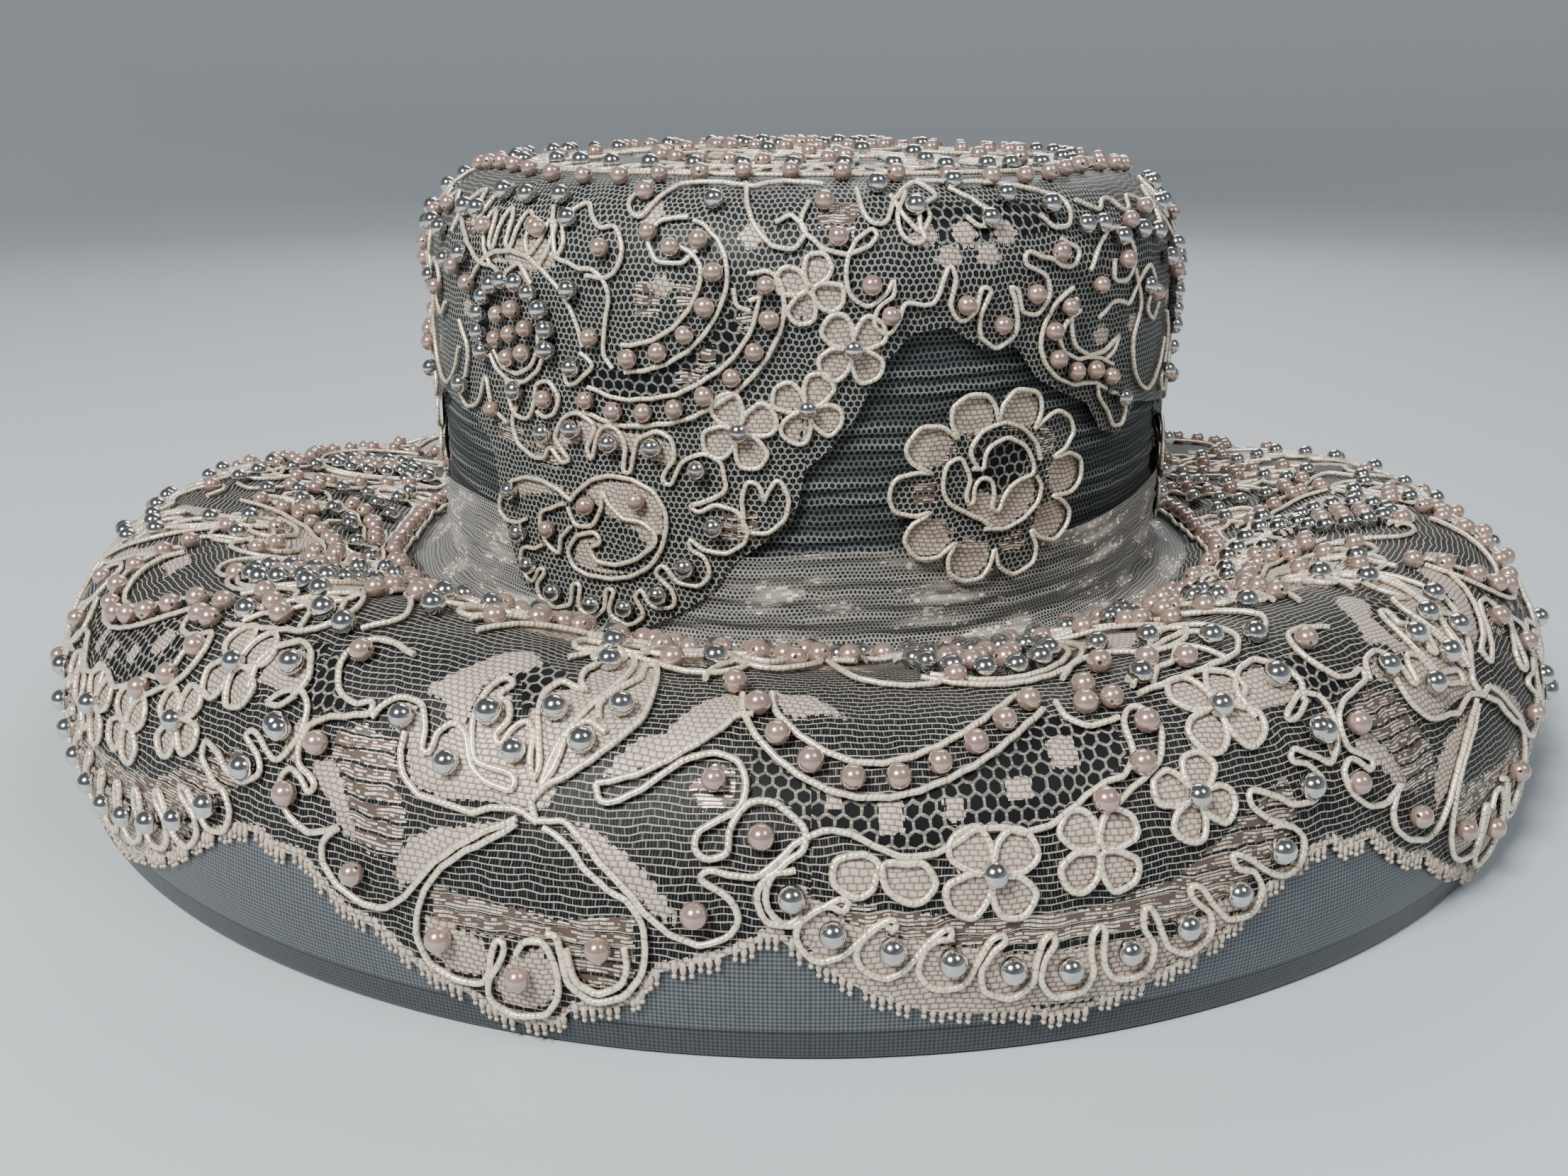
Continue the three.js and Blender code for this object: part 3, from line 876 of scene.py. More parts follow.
brim_lace.cord(
    (-42, 38), (-38, 36), (-35, 32.8), (-31, 29.8), (-27.5, 27.8), (-25.6, 25), (-25, 21),
    (-25.5, 17), (-27.5, 13.5), (-31, 11.3), (-34.5, 11.4), (-37.2, 14), (-38.1, 18), (-39, 21.2),
    (-40.6, 21.8)
)
brim_lace.cord(
    (-28.3, 20.8), (-27.9, 17), (-29.3, 14), (-32.3, 12.6), (-35.4, 13.6), (-36.8, 16.5),
    (-37.4, 19.6)
)
brim_lace.cord(
    (-43, 38.8), (-39, 39.2), (-35, 36.3), (-32, 33.2), (-28, 29.8), (-24.5, 26), (-20.5, 23.2),
    (-16.5, 22.2), (-13, 23.4), (-11, 26), (-11.8, 29), (-15, 31.2), (-16.8, 32.6), (-15.2, 33.6),
    (-11, 32.9), (-7.5, 33.4), (-4.5, 36), (-1.5, 38.4), (3.5, 39.8), (8, 38), (12, 36), (16, 35.6),
    (20, 36.6), (24, 38.8), (28, 39), (32, 38), (36, 38.8), (40, 41), (45, 43.8), (49.5, 45),
    (52, 48), (52.2, 52), (53, 54.4), (56, 56), (58.2, 53), (57.5, 49), (55.2, 45.6), (51, 43.2),
    (47, 40.6)
)
brim_lace.cord(
    (-78.8, 32.4), (-81.5, 31), (-85, 30.4), (-88.5, 31.8), (-91.2, 34.4), (-91.9, 37.6),
    (-90, 39.6), (-87.5, 38.3), (-85.4, 36.7), (-84.4, 37.8), (-86, 39.4), (-88.8, 40.8),
    (-89.6, 43.6), (-88.4, 47.2), (-85, 49.2), (-80.5, 50.3), (-77, 51.6), (-77.4, 53), (-81, 52.4),
    (-84, 53.2), (-86.8, 56), (-88, 60), (-86.4, 63.2), (-82, 64.4), (-77.5, 63.6), (-74.5, 62.6)
)
brim_lace.pearl(
    (-85.5, 44.7), (-89.8, 35.5), (-74.5, 25.8), (-58.5, 18), (-45.2, 13.6), (-32.2, 20.3),
    (-17.5, 27), (-84.5, 61), (-14, 66)
)

# The fan over it: a cord that winds between silver beads, all from one knot.
brim_lace.cord(
    (-69.4, 49.5), (-69, 45.5), (-66.8, 42), (-63.5, 40.1), (-59, 39.6), (-54.5, 38.9), (-50, 40.2),
    (-46, 40), (-43, 38.6)
)
brim_lace.cord(
    (-76.5, 50.6), (-75, 53.4), (-71, 55), (-67.6, 53.8), (-65.8, 50.4), (-65.2, 47.2), (-63.8, 47),
    (-63.3, 50.4), (-61.2, 52), (-58.6, 51), (-57, 47.8), (-54.8, 44.8), (-51, 43.4), (-48.4, 43),
    (-48, 44.8), (-51, 46), (-55, 46.6), (-57, 50), (-58, 54.4), (-57.3, 59.4), (-55.2, 61.6),
    (-53.6, 60.4), (-55, 58), (-52.8, 56.6), (-51.7, 54), (-53.2, 51), (-51.8, 49.9), (-50.6, 52.4),
    (-48.6, 54.2), (-46.8, 52), (-46.2, 48), (-45, 45.2), (-44.4, 46.6), (-45.6, 51.5), (-47.2, 56),
    (-47.5, 60), (-45.4, 62.6), (-42.4, 61.8), (-40.6, 61.2), (-42.6, 64), (-42.8, 67),
    (-41.2, 69.6)
)
brim_lace.cord((-43.4, 44.4), (-42.6, 49), (-41.2, 53), (-38, 55.2), (-34.6, 53.6))
brim_lace.cord(
    (-43.2, 44.4), (-41.6, 48), (-41, 53), (-39.4, 57), (-36.8, 61.4), (-35, 66), (-34.9, 71),
    (-37, 75.5)
)
brim_lace.cord(
    (-36.4, 55.8), (-37.2, 59), (-35, 63), (-32.2, 66.6), (-32.7, 71), (-31.2, 72.2), (-29.6, 69),
    (-28.6, 63), (-29, 57), (-32, 53), (-35.6, 49.4), (-39, 46.6), (-43, 44), (-44.6, 41.6),
    (-43.2, 38.8)
)
brim_lace.bead(
    (-70.5, 51.7), (-60, 45.8), (-55.3, 54.5), (-49, 49), (-44.2, 56.5), (-38, 51.7), (-33, 58.5),
    (-39.3, 69.6), (-94.3, 45.2), (-93.5, 65.5)
)
brim_lace.cord((-34.5, 45.4), (-28, 47.4), (-21, 51.4), (-15.5, 55.4), (-12.5, 58.4), (-10, 58.8))
brim_lace.cord(
    (-34.5, 45.4), (-33.4, 42.8), (-30.5, 43.2), (-26, 45.8), (-21.5, 49.4), (-17, 51.2),
    (-12.6, 50.6), (-10.5, 47.6), (-10.9, 43.6), (-14, 41.2), (-17.2, 39.4), (-17.8, 36.8),
    (-15.5, 35.2), (-12.9, 36.4), (-12.6, 39.4), (-11, 42.6), (-7.6, 44.3), (-3.6, 42.4),
    (-1, 39.6), (-1.4, 36.8), (-4.6, 34.6), (-6.8, 31), (-6.2, 27.6), (-3.6, 25.9), (-1.4, 27.2)
)
brim_lace.pearl((-15.5, 47), (-7.7, 38.7))

# The crescent: pearls on its upper edge, open net with woven squares inside it.
brim_lace.strand(
    (-9.6, 64), (-8.8, 59), (-5, 54), (0, 50.2), (6, 47.6), (13, 47.4), (20, 49.4), (27, 52.6),
    (33.5, 56.8), (39, 60.6), gap=7.2
)
brim_lace.pearl((47.5, 57.8), (52.4, 58), (49.3, 62), (45, 41.3), (52.6, 46.2), (56, 52.7))
brim_lace.cord((43, 59.5), (43.3, 56), (45.6, 54), (49, 53.8), (52, 54.6))

# The flower chain and the meander scallop under it.
brim_lace.flower(26.3, 32.3, 8.0, 38)
brim_lace.flower(43.0, 34.0, 7.4, 40, bead=False)
brim_lace.flower(60.3, 39.8, 7.2, 66)
brim_lace.flower(70.0, 53.0, 8.6, 44)
brim_lace.loop((9.3, 33.5), (8.6, 30.8), (5.8, 30), (3.2, 32), (3.4, 35), (6.8, 36.2), (9.8, 34.6))
brim_lace.loop(
    (10.2, 34.4), (10.8, 31), (13.4, 28.9), (16.6, 29.4), (17.8, 32), (16, 34.4), (13, 34.6)
)
brim_lace.meander(
    (38, 44), (-3, 30), (2.9, 24.6), (11.4, 21.8), (20, 19.4), (28.8, 17.2), (37.5, 16.2),
    (46.9, 17.6), (56.4, 20), (65.3, 23.6), (73.8, 28.8)
)
brim_lace.cord(
    (76.4, 32), (73.2, 33.6), (70, 36.4), (70, 38.8), (74, 37.6), (77.5, 35.4), (82, 35),
    (84.8, 37.6), (82.6, 40.6), (79.6, 42.2), (80.8, 43.6), (84.6, 41.6), (87.6, 40), (90, 42.4),
    (91.6, 46.4), (90.6, 50.8), (87, 52.2), (83, 50), (81.8, 48.7), (84.4, 48.6), (87.6, 51)
)
brim_lace.cord((76, 50), (75.2, 55), (78, 58.6), (83, 60.2), (87, 57.6), (88.6, 54), (87, 51))
brim_lace.bead((81.5, 37.3), (86.5, 45.8), (84, 56))

# The upper slope, over the ridge: arcs, a cluster of pearls ringed by silver, and strands.
brim_lace.cord((4.4, 84), (5.6, 77), (8.6, 71.4), (14, 68.6), (20, 68), (25.4, 69.6), (27, 73))
brim_lace.cord((-20, 68), (-19.4, 72), (-16.4, 76), (-15.6, 80), (-18, 84))
brim_lace.cord((-13, 75.4), (-8, 74), (-2, 76), (2, 80), (3, 86))
brim_lace.cord(
    (58, 60.6), (64, 66), (72, 73.4), (79, 76), (84, 73), (85.6, 67.6), (81.6, 63), (76, 61.6),
    (66, 60), (58, 58.6)
)
brim_lace.cord((58, 62.2), (66, 68.4), (73, 71.4), (79.4, 72.2), (82.4, 69.4))
brim_lace.cord((62, 60.4), (65, 63.6), (69, 64.6), (73, 68.4), (76.4, 66.4), (78.4, 62.6))
brim_lace.bead((60.5, 62.3), (79.8, 67.6))
brim_lace.pearl((71, 64))
brim_lace.bead(*inner(*arc(27, 82, 10.5, even_turns(14))))
brim_lace.pearl(*inner((27, 82), *arc(27, 82, 5.3, even_turns(6))))
for reach in (13.4, 15.4):
    brim_lace.cord(*inner(*arc(27, 82, reach, np.linspace(-2.4, 2.0, 14))))
brim_lace.strand(
    *inner((-50, 74), (-44, 84), (-34, 92), (-22, 97), (-9, 98), (3, 94), (11, 87)), gap=8.6
)
brim_lace.strand(*inner((-62, 96), (-52, 103), (-40, 107), (-27, 108)), gap=9.0)
brim_lace.strand(*inner((36, 103), (46, 97), (54, 88), (58, 78)), gap=9.0)
brim_lace.cord(
    *inner((-36, 84), (-28, 89), (-20, 88), (-16, 83), (-20, 79), (-26, 80), (-25, 84), (-21, 84))
)
brim_lace.cord(*inner((-12, 90), (-6, 88), (-3, 83), (-6, 79), (-10, 81), (-8, 85)))
brim_lace.meander(
    inner((16, 94))[0], *inner((-18, 103), (-9, 106), (1, 107.5), (11, 107), (21, 105),
    (30, 101)), reach=5.2
)
brim_lace.flower(*inner((-54, 86))[0], 9.5, 20)
brim_lace.flower(*inner((48, 106))[0], 9.5, 50)
brim_lace.pearl(*inner((-24, 84.5), (-8, 84)))

# Nearer to the crown: a long strand, sprays of small flowers and loose beads.
brim_lace.strand(
    *inner((-69, 114.6), (-46, 114.6), (-23, 112.6), (0, 112.6), (23, 112), (46, 114),
    (63.3, 114.6)), gap=10.6
)
brim_lace.cord(
    *inner((-64, 66), (-60, 71), (-63, 77), (-68, 82), (-66, 89), (-60, 92), (-55, 97), (-46, 99),
    (-40, 95))
)
brim_lace.cord(*inner((-34, 70), (-30, 75), (-24, 74), (-18, 70.6), (-12, 71), (-9, 75), (-13, 79)))
brim_lace.cord(*inner((34, 66), (38, 71), (44, 72), (48, 69), (54, 70), (57, 74), (53, 77)))
brim_lace.cord(*inner((16, 97), (22, 100), (30, 99), (36, 95), (42, 97), (40, 101), (34, 103)))
brim_lace.flower(*inner((-30, 78))[0], 7.6, 15)
brim_lace.flower(*inner((6, 100))[0], 8.0, 30)
brim_lace.bead(
    *inner((-61, 83), (-58, 76), (-50, 95), (-44, 100), (-38, 101), (-14, 76), (43, 75), (50, 73),
    (24, 97), (31, 96), (37, 99), (60, 92), (60, 99), (-65, 103), (-58, 108), (55, 106))
)
brim_lace.pearl(
    *inner((-66, 86), (-64, 80), (-20, 74), (40, 68), (46, 66), (-4, 92), (2, 90), (56, 84),
    (62, 86), (-47, 90), (-42, 88), (20, 70), (-2, 79), (0, 101))
)

# What is woven between the cords.
brim_lace.shape(
    "leaves", (-47, 38.6), (-54, 37), (-60, 35.6), (-65, 33.4), (-67.4, 29), (-67, 24), (-63, 27),
    (-57, 32.4)
)
brim_lace.shape(
    "leaves", (-40, 38.8), (-35, 39), (-30, 36), (-25, 32.4), (-22, 28.4), (-19.4, 24.4),
    (-23, 25.4), (-29, 30.6)
)
brim_lace.shape(
    "leaves", (-87, 41), (-83, 43.4), (-79, 39), (-76.4, 34), (-74, 30.4), (-78, 31.4), (-81, 35.6),
    (-85, 38.6)
)
brim_lace.shape(
    "leaves", (-69, 48), (-66.6, 42), (-60, 40), (-50, 41), (-43, 40), (-40, 46), (-33, 51.4),
    (-29, 57), (-29, 67), (-31, 73), (-36, 76), (-41, 72), (-42.4, 63), (-47, 60), (-49.4, 54.6),
    (-52, 52), (-54, 61), (-57.6, 59), (-58.4, 52), (-61, 52), (-64.4, 47.4), (-67, 53),
    (-72, 54.4), (-74, 51)
)
brim_lace.shape(
    "leaves", (-34, 46.4), (-26.4, 48.8), (-18, 54), (-12, 58.8), (-11, 63.6), (-15, 65),
    (-19, 62.4), (-23, 58), (-25, 54.6), (-29.4, 53.6), (-32, 50)
)
brim_lace.shape(
    "leaves", (-61.4, 21), (-62, 16), (-58, 12.2), (-52, 12), (-50.4, 16), (-52, 18.8), (-58, 20.6)
)
brim_lace.shape(
    "leaves", (-50, 12), (-49, 8), (-45, 7), (-40.6, 9), (-39.6, 14), (-41.6, 18.6), (-45, 17.4),
    (-48.4, 14.6)
)
brim_lace.shape(
    "leaves", (-70, 57), (-66, 60.4), (-63, 64), (-60, 68), (-55, 70.4), (-51, 67), (-53.4, 63.6),
    (-58, 62.4), (-59.6, 57), (-58.6, 52.6), (-63, 52.6), (-64.6, 56)
)
brim_lace.shape(
    "leaves", (-7.6, 67), (-6, 62.4), (-3, 58.6), (2, 59.6), (7, 58.6), (3.6, 62), (0.4, 65),
    (-3.6, 64.6)
)
brim_lace.shape(
    "leaves", (4, 15.4), (16, 11), (30, 9.2), (42, 9), (52, 12), (62, 17), (70, 24), (64, 22.6),
    (56, 17.6), (47, 19), (37.5, 18.6), (28, 19.6), (20, 21.4), (11, 24), (3, 27), (-2, 32),
    (-5, 30), (0, 21)
)
brim_lace.shape("leaves", (-88, 49), (-93, 47), (-95, 42), (-92, 40), (-89.6, 42))
brim_lace.shape("leaves", (77, 58), (76.4, 52), (83, 51), (88, 53), (86, 58), (82, 59.6))
for block in ((38.5, 47.5, 4.6, 5.6), (30, 43, 4.4, 3.8), (10, 39, 3.6, 4.8), (20, 40.2, 3, 4),
              (2, 43, 2.6, 3)):
    brim_lace.block("leaves", *block)
brim_lace.shape(
    "open", (-9, 56), (-4, 49), (2, 46), (9, 45), (17, 45.4), (25, 49), (34, 53.4), (41, 59),
    (44, 54.6), (51, 54), (51.6, 48), (46, 44.4), (38, 40.6), (32, 38.6), (26, 39.6), (18, 36.4),
    (12, 36.6), (4, 40.4), (-1, 40), (-4, 44.4), (-9.6, 44.4), (-10, 50)
)
brim_lace.shape("open", (-92, 60), (-88, 60), (-85, 54), (-79, 52.4), (-87, 49.6), (-93, 50))
brim_lace.shape("open", (-59, 66), (-52, 68), (-45, 66), (-46, 62), (-50, 55), (-53, 62), (-58, 62))
brim_lace.shape(
    "open", (86, 62), (80, 60), (76, 59.6), (76, 54), (80, 58), (86, 57), (90, 52), (93, 56),
    (92, 62)
)
brim_lace.shape(
    "glitter", (-84, 47.6), (-78, 49.6), (-71, 48), (-69, 42), (-66, 36), (-66, 30), (-72, 29),
    (-77, 31), (-78, 38), (-83, 44)
)
brim_lace.shape(
    "glitter", (-61, 27), (-50, 25), (-38, 24), (-27, 26), (-27, 14), (-34, 12.6), (-38, 18),
    (-44, 20), (-50, 19), (-60, 20)
)
brim_lace.shape("glitter", (-16, 50), (-12, 49), (-12, 44), (-17, 42), (-20, 46))
brim_lace.shape(
    "glitter", (2, 30), (20, 26), (40, 25), (56, 28), (66, 34), (78, 40), (80, 34), (72, 26),
    (60, 21), (40, 20), (20, 21), (6, 25)
)
brim_lace.shape(
    "glitter", *inner((-60, 80), (-40, 78), (-20, 74), (0, 78), (10, 76), (8, 84), (-8, 92),
    (-30, 90), (-50, 92))
)
brim_lace.shape(
    "leaves", *inner((-34, 90), (-24, 95), (-12, 95.6), (-4, 92), (-10, 88), (-20, 89.6), (-28, 90))
)
brim_lace.shape("leaves", *inner((40, 88), (50, 86), (53, 78), (47, 74), (42, 80)))
brim_lace.shape("open", *inner((-10, 100), (20, 100), (26, 96), (14, 92), (4, 96)))
brim_lace.tell("brim")

# %% The crown's repeat
BEND = SHOULDER_RADIUS + 3.5  # where the lace turns over the shoulder


def fit_crown(points):
    """Heights over the table become distances up the cloth, over the shoulder too."""
    points = np.array(points, float)
    over = np.clip((points[..., 1] - SHOULDER_HEIGHT) / BEND, 0, 1)
    bent = WALL_HEIGHT + SHOULDER_RADIUS * np.arcsin(over)
    on_wall = points[..., 1] - HEADLINE_HEIGHT
    points[..., 1] = np.where(points[..., 1] < SHOULDER_HEIGHT, on_wall, bent)
    return points


crown_lace = Drawing(fit_crown)

# The pearl rosette with its ring of silver beads.
crown_lace.pearl((-69, 99.8), *arc(-69, 99.8, 5.4, even_turns(6) + 0.3))
crown_lace.bead(*arc(-69, 99.8, 11.6, np.linspace(-0.2, 3.6, 11), tall=11.2))
for reach in (8.4, 10.4):
    crown_lace.cord(*arc(-69, 99.8, reach, np.linspace(-2.6, 0.1, 9)))
crown_lace.cord((-86, 108), (-80, 114), (-70, 117), (-61, 115), (-54, 110), (-50, 104), (-48.4, 99))
crown_lace.cord(
    (-56.6, 117), (-50, 115), (-44, 114), (-41.6, 110), (-42.6, 104), (-43, 97.6), (-41, 95)
)
crown_lace.cord(
    (-92, 100), (-88, 94), (-90, 88), (-94, 84), (-90, 81), (-84, 83), (-80, 89), (-78, 83),
    (-72, 80)
)
crown_lace.cord(
    (-71.6, 90), (-71.4, 86), (-68.6, 82), (-64.4, 82.6), (-62.6, 86), (-61.4, 90), (-58, 90.6),
    (-55.4, 88), (-56.6, 84.6), (-59.4, 83), (-62, 84)
)
crown_lace.pearl((-46, 101), (-59, 87), (-77, 82.4), (-43.6, 118.6), (-61, 121.4), (-80, 121))
crown_lace.bead((-51, 110.4), (-51, 94.5), (-68, 87.8), (-91, 86), (-53.6, 123.6), (-88, 115))
crown_lace.cord(
    (-60, 126), (-57, 121), (-55, 117), (-53.6, 119), (-55, 123.6), (-51, 127), (-46, 123),
    (-41, 122.6), (-38.6, 118), (-41, 113.6), (-47, 113.2)
)

# Two crescents, one inside the other.
crown_lace.strand(
    (-25, 122.2), (-20, 119.4), (-18.4, 114.6), (-20.4, 108), (-25.4, 102), (-32, 98.4),
    (-40, 97), gap=6.8
)
crown_lace.cord((-22, 119), (-26, 116.6), (-31, 117.4), (-33, 121), (-30.6, 124.4), (-25, 125))
crown_lace.pearl((-27.6, 119.4))
crown_lace.strand(
    (-11.4, 112.4), (-7.4, 112.4), (-7.2, 106.6), (-9.4, 101.2), (-13.8, 95.6), (-19.6, 91.4),
    (-25.4, 88.4), (-33, 86.8), (-40, 86.3), (-48, 88.2), gap=7.0
)
crown_lace.cord((-14.4, 112), (-13.6, 108.6), (-11, 107.8))
crown_lace.cord((-53.6, 94), (-52.6, 90.6), (-49, 92.4), (-46, 95.4), (-49, 97.6))

# The flower chain climbs between them.
crown_lace.flower(-13.5, 83.8, 8.2, 28)
crown_lace.flower(0.4, 88.6, 7.6, 62)
crown_lace.flower(9.4, 100.4, 7.8, 40)
crown_lace.flower(0.8, 112.0, 7.0, 70, bead=False)
crown_lace.loop(
    (-12.6, 63.4), (-8, 63), (-4.2, 66), (-3.4, 70.6), (-5.6, 73.9), (-7.4, 72), (-8.3, 69.4),
    (-9.4, 72.6), (-11.8, 73.4), (-13, 69.6), (-12.6, 66), leaf=False
)

# The meanders that close it at the foot.
crown_lace.cord(
    (-11.6, 63.4), (-13, 60.2), (-17, 58.3), (-21, 58.8), (-24.4, 60.6), (-24, 58.8), (-20.8, 56.6),
    (-20.2, 53), (-23, 50.8), (-27, 51.4), (-30.6, 54.6), (-32, 52.6), (-28.6, 49.6), (-28, 46.4),
    (-31, 45), (-34, 46.2), (-35.6, 48.6), (-37, 47), (-35.2, 43.4), (-37.4, 40.9), (-41.6, 40.8),
    (-43.6, 43), (-42.4, 47.6), (-44, 47.6), (-45, 43), (-48, 40.8), (-51.6, 42), (-51.4, 47.4),
    (-53, 47.4), (-54.4, 42.6), (-58, 41), (-63, 41.8), (-64.2, 44.6), (-61.6, 48.6), (-63.4, 48.6),
    (-66, 45.2), (-69, 47.6), (-69, 52), (-64, 53.4), (-61.6, 54.6)
)
crown_lace.bead(
    (-19, 63.8), (-25.3, 54.8), (-31.4, 48.2), (-39.4, 44.3), (-47.8, 43.8), (-58.6, 44.6),
    (-66, 49.2), (-69, 56), (-71.6, 65)
)
crown_lace.cord(
    (-16.8, 75), (-17.6, 77.6), (-22, 78.8), (-26, 76.4), (-28.4, 71.9), (-30, 73.2), (-27.4, 78),
    (-28.4, 82), (-32, 82.7), (-35.6, 80.6), (-37.6, 73.9), (-39, 74), (-38.6, 79.6), (-41, 83),
    (-44.6, 82), (-47, 75.7), (-48, 77.6), (-46, 82.6), (-49, 84.7), (-53, 84.4), (-56.8, 79),
    (-55.4, 77.2), (-53, 74.6), (-55, 74), (-58.6, 76.6), (-60.4, 74), (-64.6, 74.2), (-69, 76.6),
    (-70.2, 81), (-68.6, 84)
)
crown_lace.cord(
    (-16.8, 75), (-16.4, 72), (-19, 69.8), (-24, 67.8), (-22.6, 66.8), (-18, 68.4), (-14, 67),
    (-12, 63.6)
)
crown_lace.bead((-22.3, 75.7), (-32, 79.6), (-42, 79.6), (-51.5, 81.5), (-59.6, 79.8))
crown_lace.cord(
    (-53, 66), (-50, 69), (-45, 72), (-38, 72.4), (-32.4, 70.2), (-29.6, 66), (-29.8, 60.6),
    (-33, 54.6), (-39, 51), (-46, 50), (-52, 50.8), (-54.2, 54), (-52, 57.8), (-47, 59.6),
    (-45.4, 58), (-48, 56), (-46.4, 53.6), (-41, 53.6), (-35.6, 56), (-31.9, 60), (-34, 63),
    (-40, 64), (-43.4, 67), (-44.6, 69), (-45, 65), (-48, 61), (-52, 61), (-54, 64.4)
)
crown_lace.cord(
    (-53, 66), (-58, 68.2), (-65, 69), (-71.6, 67), (-76, 63), (-76.8, 59.2), (-72, 57.6),
    (-67, 59.4)
)
crown_lace.cord(
    (-54.6, 65), (-58.6, 63.4), (-62, 61.4), (-62, 57.6), (-59, 54), (-57, 53.6), (-56.2, 57),
    (-53.4, 60)
)
crown_lace.pearl((-48.5, 65.5), (-36, 68), (-59.6, 58.6))

# The meander with pearls on the other side, and the band over the shoulder.
crown_lace.cord(
    (0.6, 128), (-1, 124), (1.6, 121), (6.6, 118.6), (11.4, 119.4), (14.6, 122), (13.4, 123),
    (9, 119.4), (8, 114), (9.6, 110), (13, 108.8), (16, 111), (17.6, 113.6), (17.6, 110.8),
    (14.4, 108), (14, 104.6), (16.8, 103.3), (18.8, 105.6), (20, 108.8), (26, 108.8), (28, 113),
    (29.6, 116), (30.8, 113.6), (29.8, 108), (32.6, 105), (35.4, 107), (37, 111.6), (38.8, 110.8),
    (36.6, 106), (37, 101.6), (41, 99.3), (45.4, 102.4), (45, 108), (43.6, 111.4), (45.4, 110.4),
    (47, 106), (51, 105.6), (54, 109.6), (52, 113.6), (47.6, 115.4), (47.6, 117.6), (53, 116.6),
    (60, 114.4), (62.8, 117), (58, 120)
)
crown_lace.pearl(
    (6.5, 121.4), (13, 112.6), (17, 106.8), (33, 108.3), (41.5, 103.8), (49.6, 109.6), (56.6, 117.4)
)
crown_lace.strand(
    (62, 107.6), (57.4, 105), (54.6, 100), (57, 95.2), (62.8, 92.4), (69.4, 92), (76, 89.4), gap=6.6
)
crown_lace.cord(
    (62, 108), (60.6, 103.4), (62.4, 98), (67.6, 95.4), (73.4, 96), (78, 98.4), (76.6, 95.8),
    (73, 93.6)
)
crown_lace.cord(
    (70.6, 89), (71.6, 85.6), (75, 82.4), (78, 78.6), (81.6, 78.4), (83, 81.6), (80, 85), (76, 86.4)
)
crown_lace.bead((80.2, 84.6), (23.6, 126.6), (78, 119), (40, 124), (66, 122))
crown_lace.cord((19, 129), (21.4, 124.6), (24, 122.6), (26.6, 125), (25.4, 129))
crown_lace.cord((84, 112), (88, 104), (85, 96), (88, 88), (96, 84), (104, 88), (108, 94))

# The top, drawn in its own plane: a middle flower, rings, and a curl and a flower chain in each
# third of it.


def fit_top(points):
    """Places on the flat top, in mm from its middle, front at the foot, as turn and way up."""
    points = np.array(points, float)
    x, y = points[..., 0], points[..., 1]
    return np.stack([np.arctan2(x, -y) * CROWN_RADIUS, CROWN_REACH - np.hypot(x, y)], -1)


def polar(*places):
    """Distances from the middle and degrees round it, as places on the flat top."""
    return [(r * math.sin(math.radians(a)), -r * math.cos(math.radians(a))) for r, a in places]


def petal_at(degrees, near, far, wide):
    """A pointed petal that stands on a circle."""
    a = math.radians(degrees)
    outline = ((0, 0), (0.25, 0.7), (0.6, 1), (0.88, 0.7), (1, 0), (0.88, -0.7), (0.6, -1),
               (0.25, -0.7))
    steps = [(near + (far - near) * s, wide * w) for s, w in outline]
    return [(out * math.sin(a) + side * math.cos(a), -out * math.cos(a) + side * math.sin(a))
            for out, side in steps]


crown_lace.fit = fit_top
for degrees in (-40, 0, 40):
    crown_lace.loop(*petal_at(degrees, 3.5, 15.5, 3.4))
    crown_lace.bead(*polar((15.2, degrees + 20)))
crown_lace.pearl(*polar((2.6, 0)))
for reach in (19.2, 25.2, 75.0):
    crown_lace.cord(*polar(*[(reach, a) for a in range(-60, 61, 5)]))
crown_lace.pearl(*polar(*[(22.2, a) for a in range(-50, 51, 20)]))
crown_lace.pearl(*polar(*[
    (77.6 + 2.2 * math.sin(a * 1.7), a + 1.4 * math.sin(a)) for a in range(-57, 58, 7)]))
crown_lace.bead(*polar(*[
    (72.6 + 2.0 * math.sin(a * 2.3), a + 1.8 * math.cos(a)) for a in range(24, 58, 8)]))
crown_lace.strand(
    *polar((31, -54), (41, -50), (52, -38), (58, -22), (59, -6), (53, 8), (44, 12), (38, 4),
    (40, -6)), gap=7.4
)
crown_lace.cord(*polar((35, -36), (42, -30), (46, -20), (47, -8), (43, -14), (38, -24), (35, -36)))
crown_lace.leaf(*polar((36, -36), (42, -30), (45, -20), (45.6, -10), (42, -16), (38, -26)))
crown_lace.flower(*polar((34, 24))[0], 7.4, 10)
crown_lace.flower(*polar((46, 33))[0], 8.0, 35)
crown_lace.flower(*polar((60, 26))[0], 7.6, 60)
crown_lace.flower(*polar((61, 43))[0], 7.0, 20, bead=False)
crown_lace.flower(*polar((33, -14))[0], 6.4, 45)
crown_lace.meander((0.0, 0.0), *polar(*[(67.5, a) for a in range(-56, 20, 9)]),
                   reach=3.9, dip=4.4, climb=4.6)
crown_lace.cord(
    *polar((66, 50), (69, 53), (68, 57), (63, 57), (58, 55), (54, 57), (50, 54), (50, 47), (54, 44))
)
crown_lace.pearl(*polar((69.6, 34), (53, 50), (62, 53)))
for r, a in ((30, 6), (52, 20), (30, 44), (40, 50)):
    crown_lace.leaf(*petal_at(a, r - 3.4, r + 3.4, 2.6))
crown_lace.shape(
    "open", *polar((50, -34), (54, -20), (55, -6), (50, 4), (44, 8), (41, 2), (46, -6), (48, -20),
    (44, -34))
)
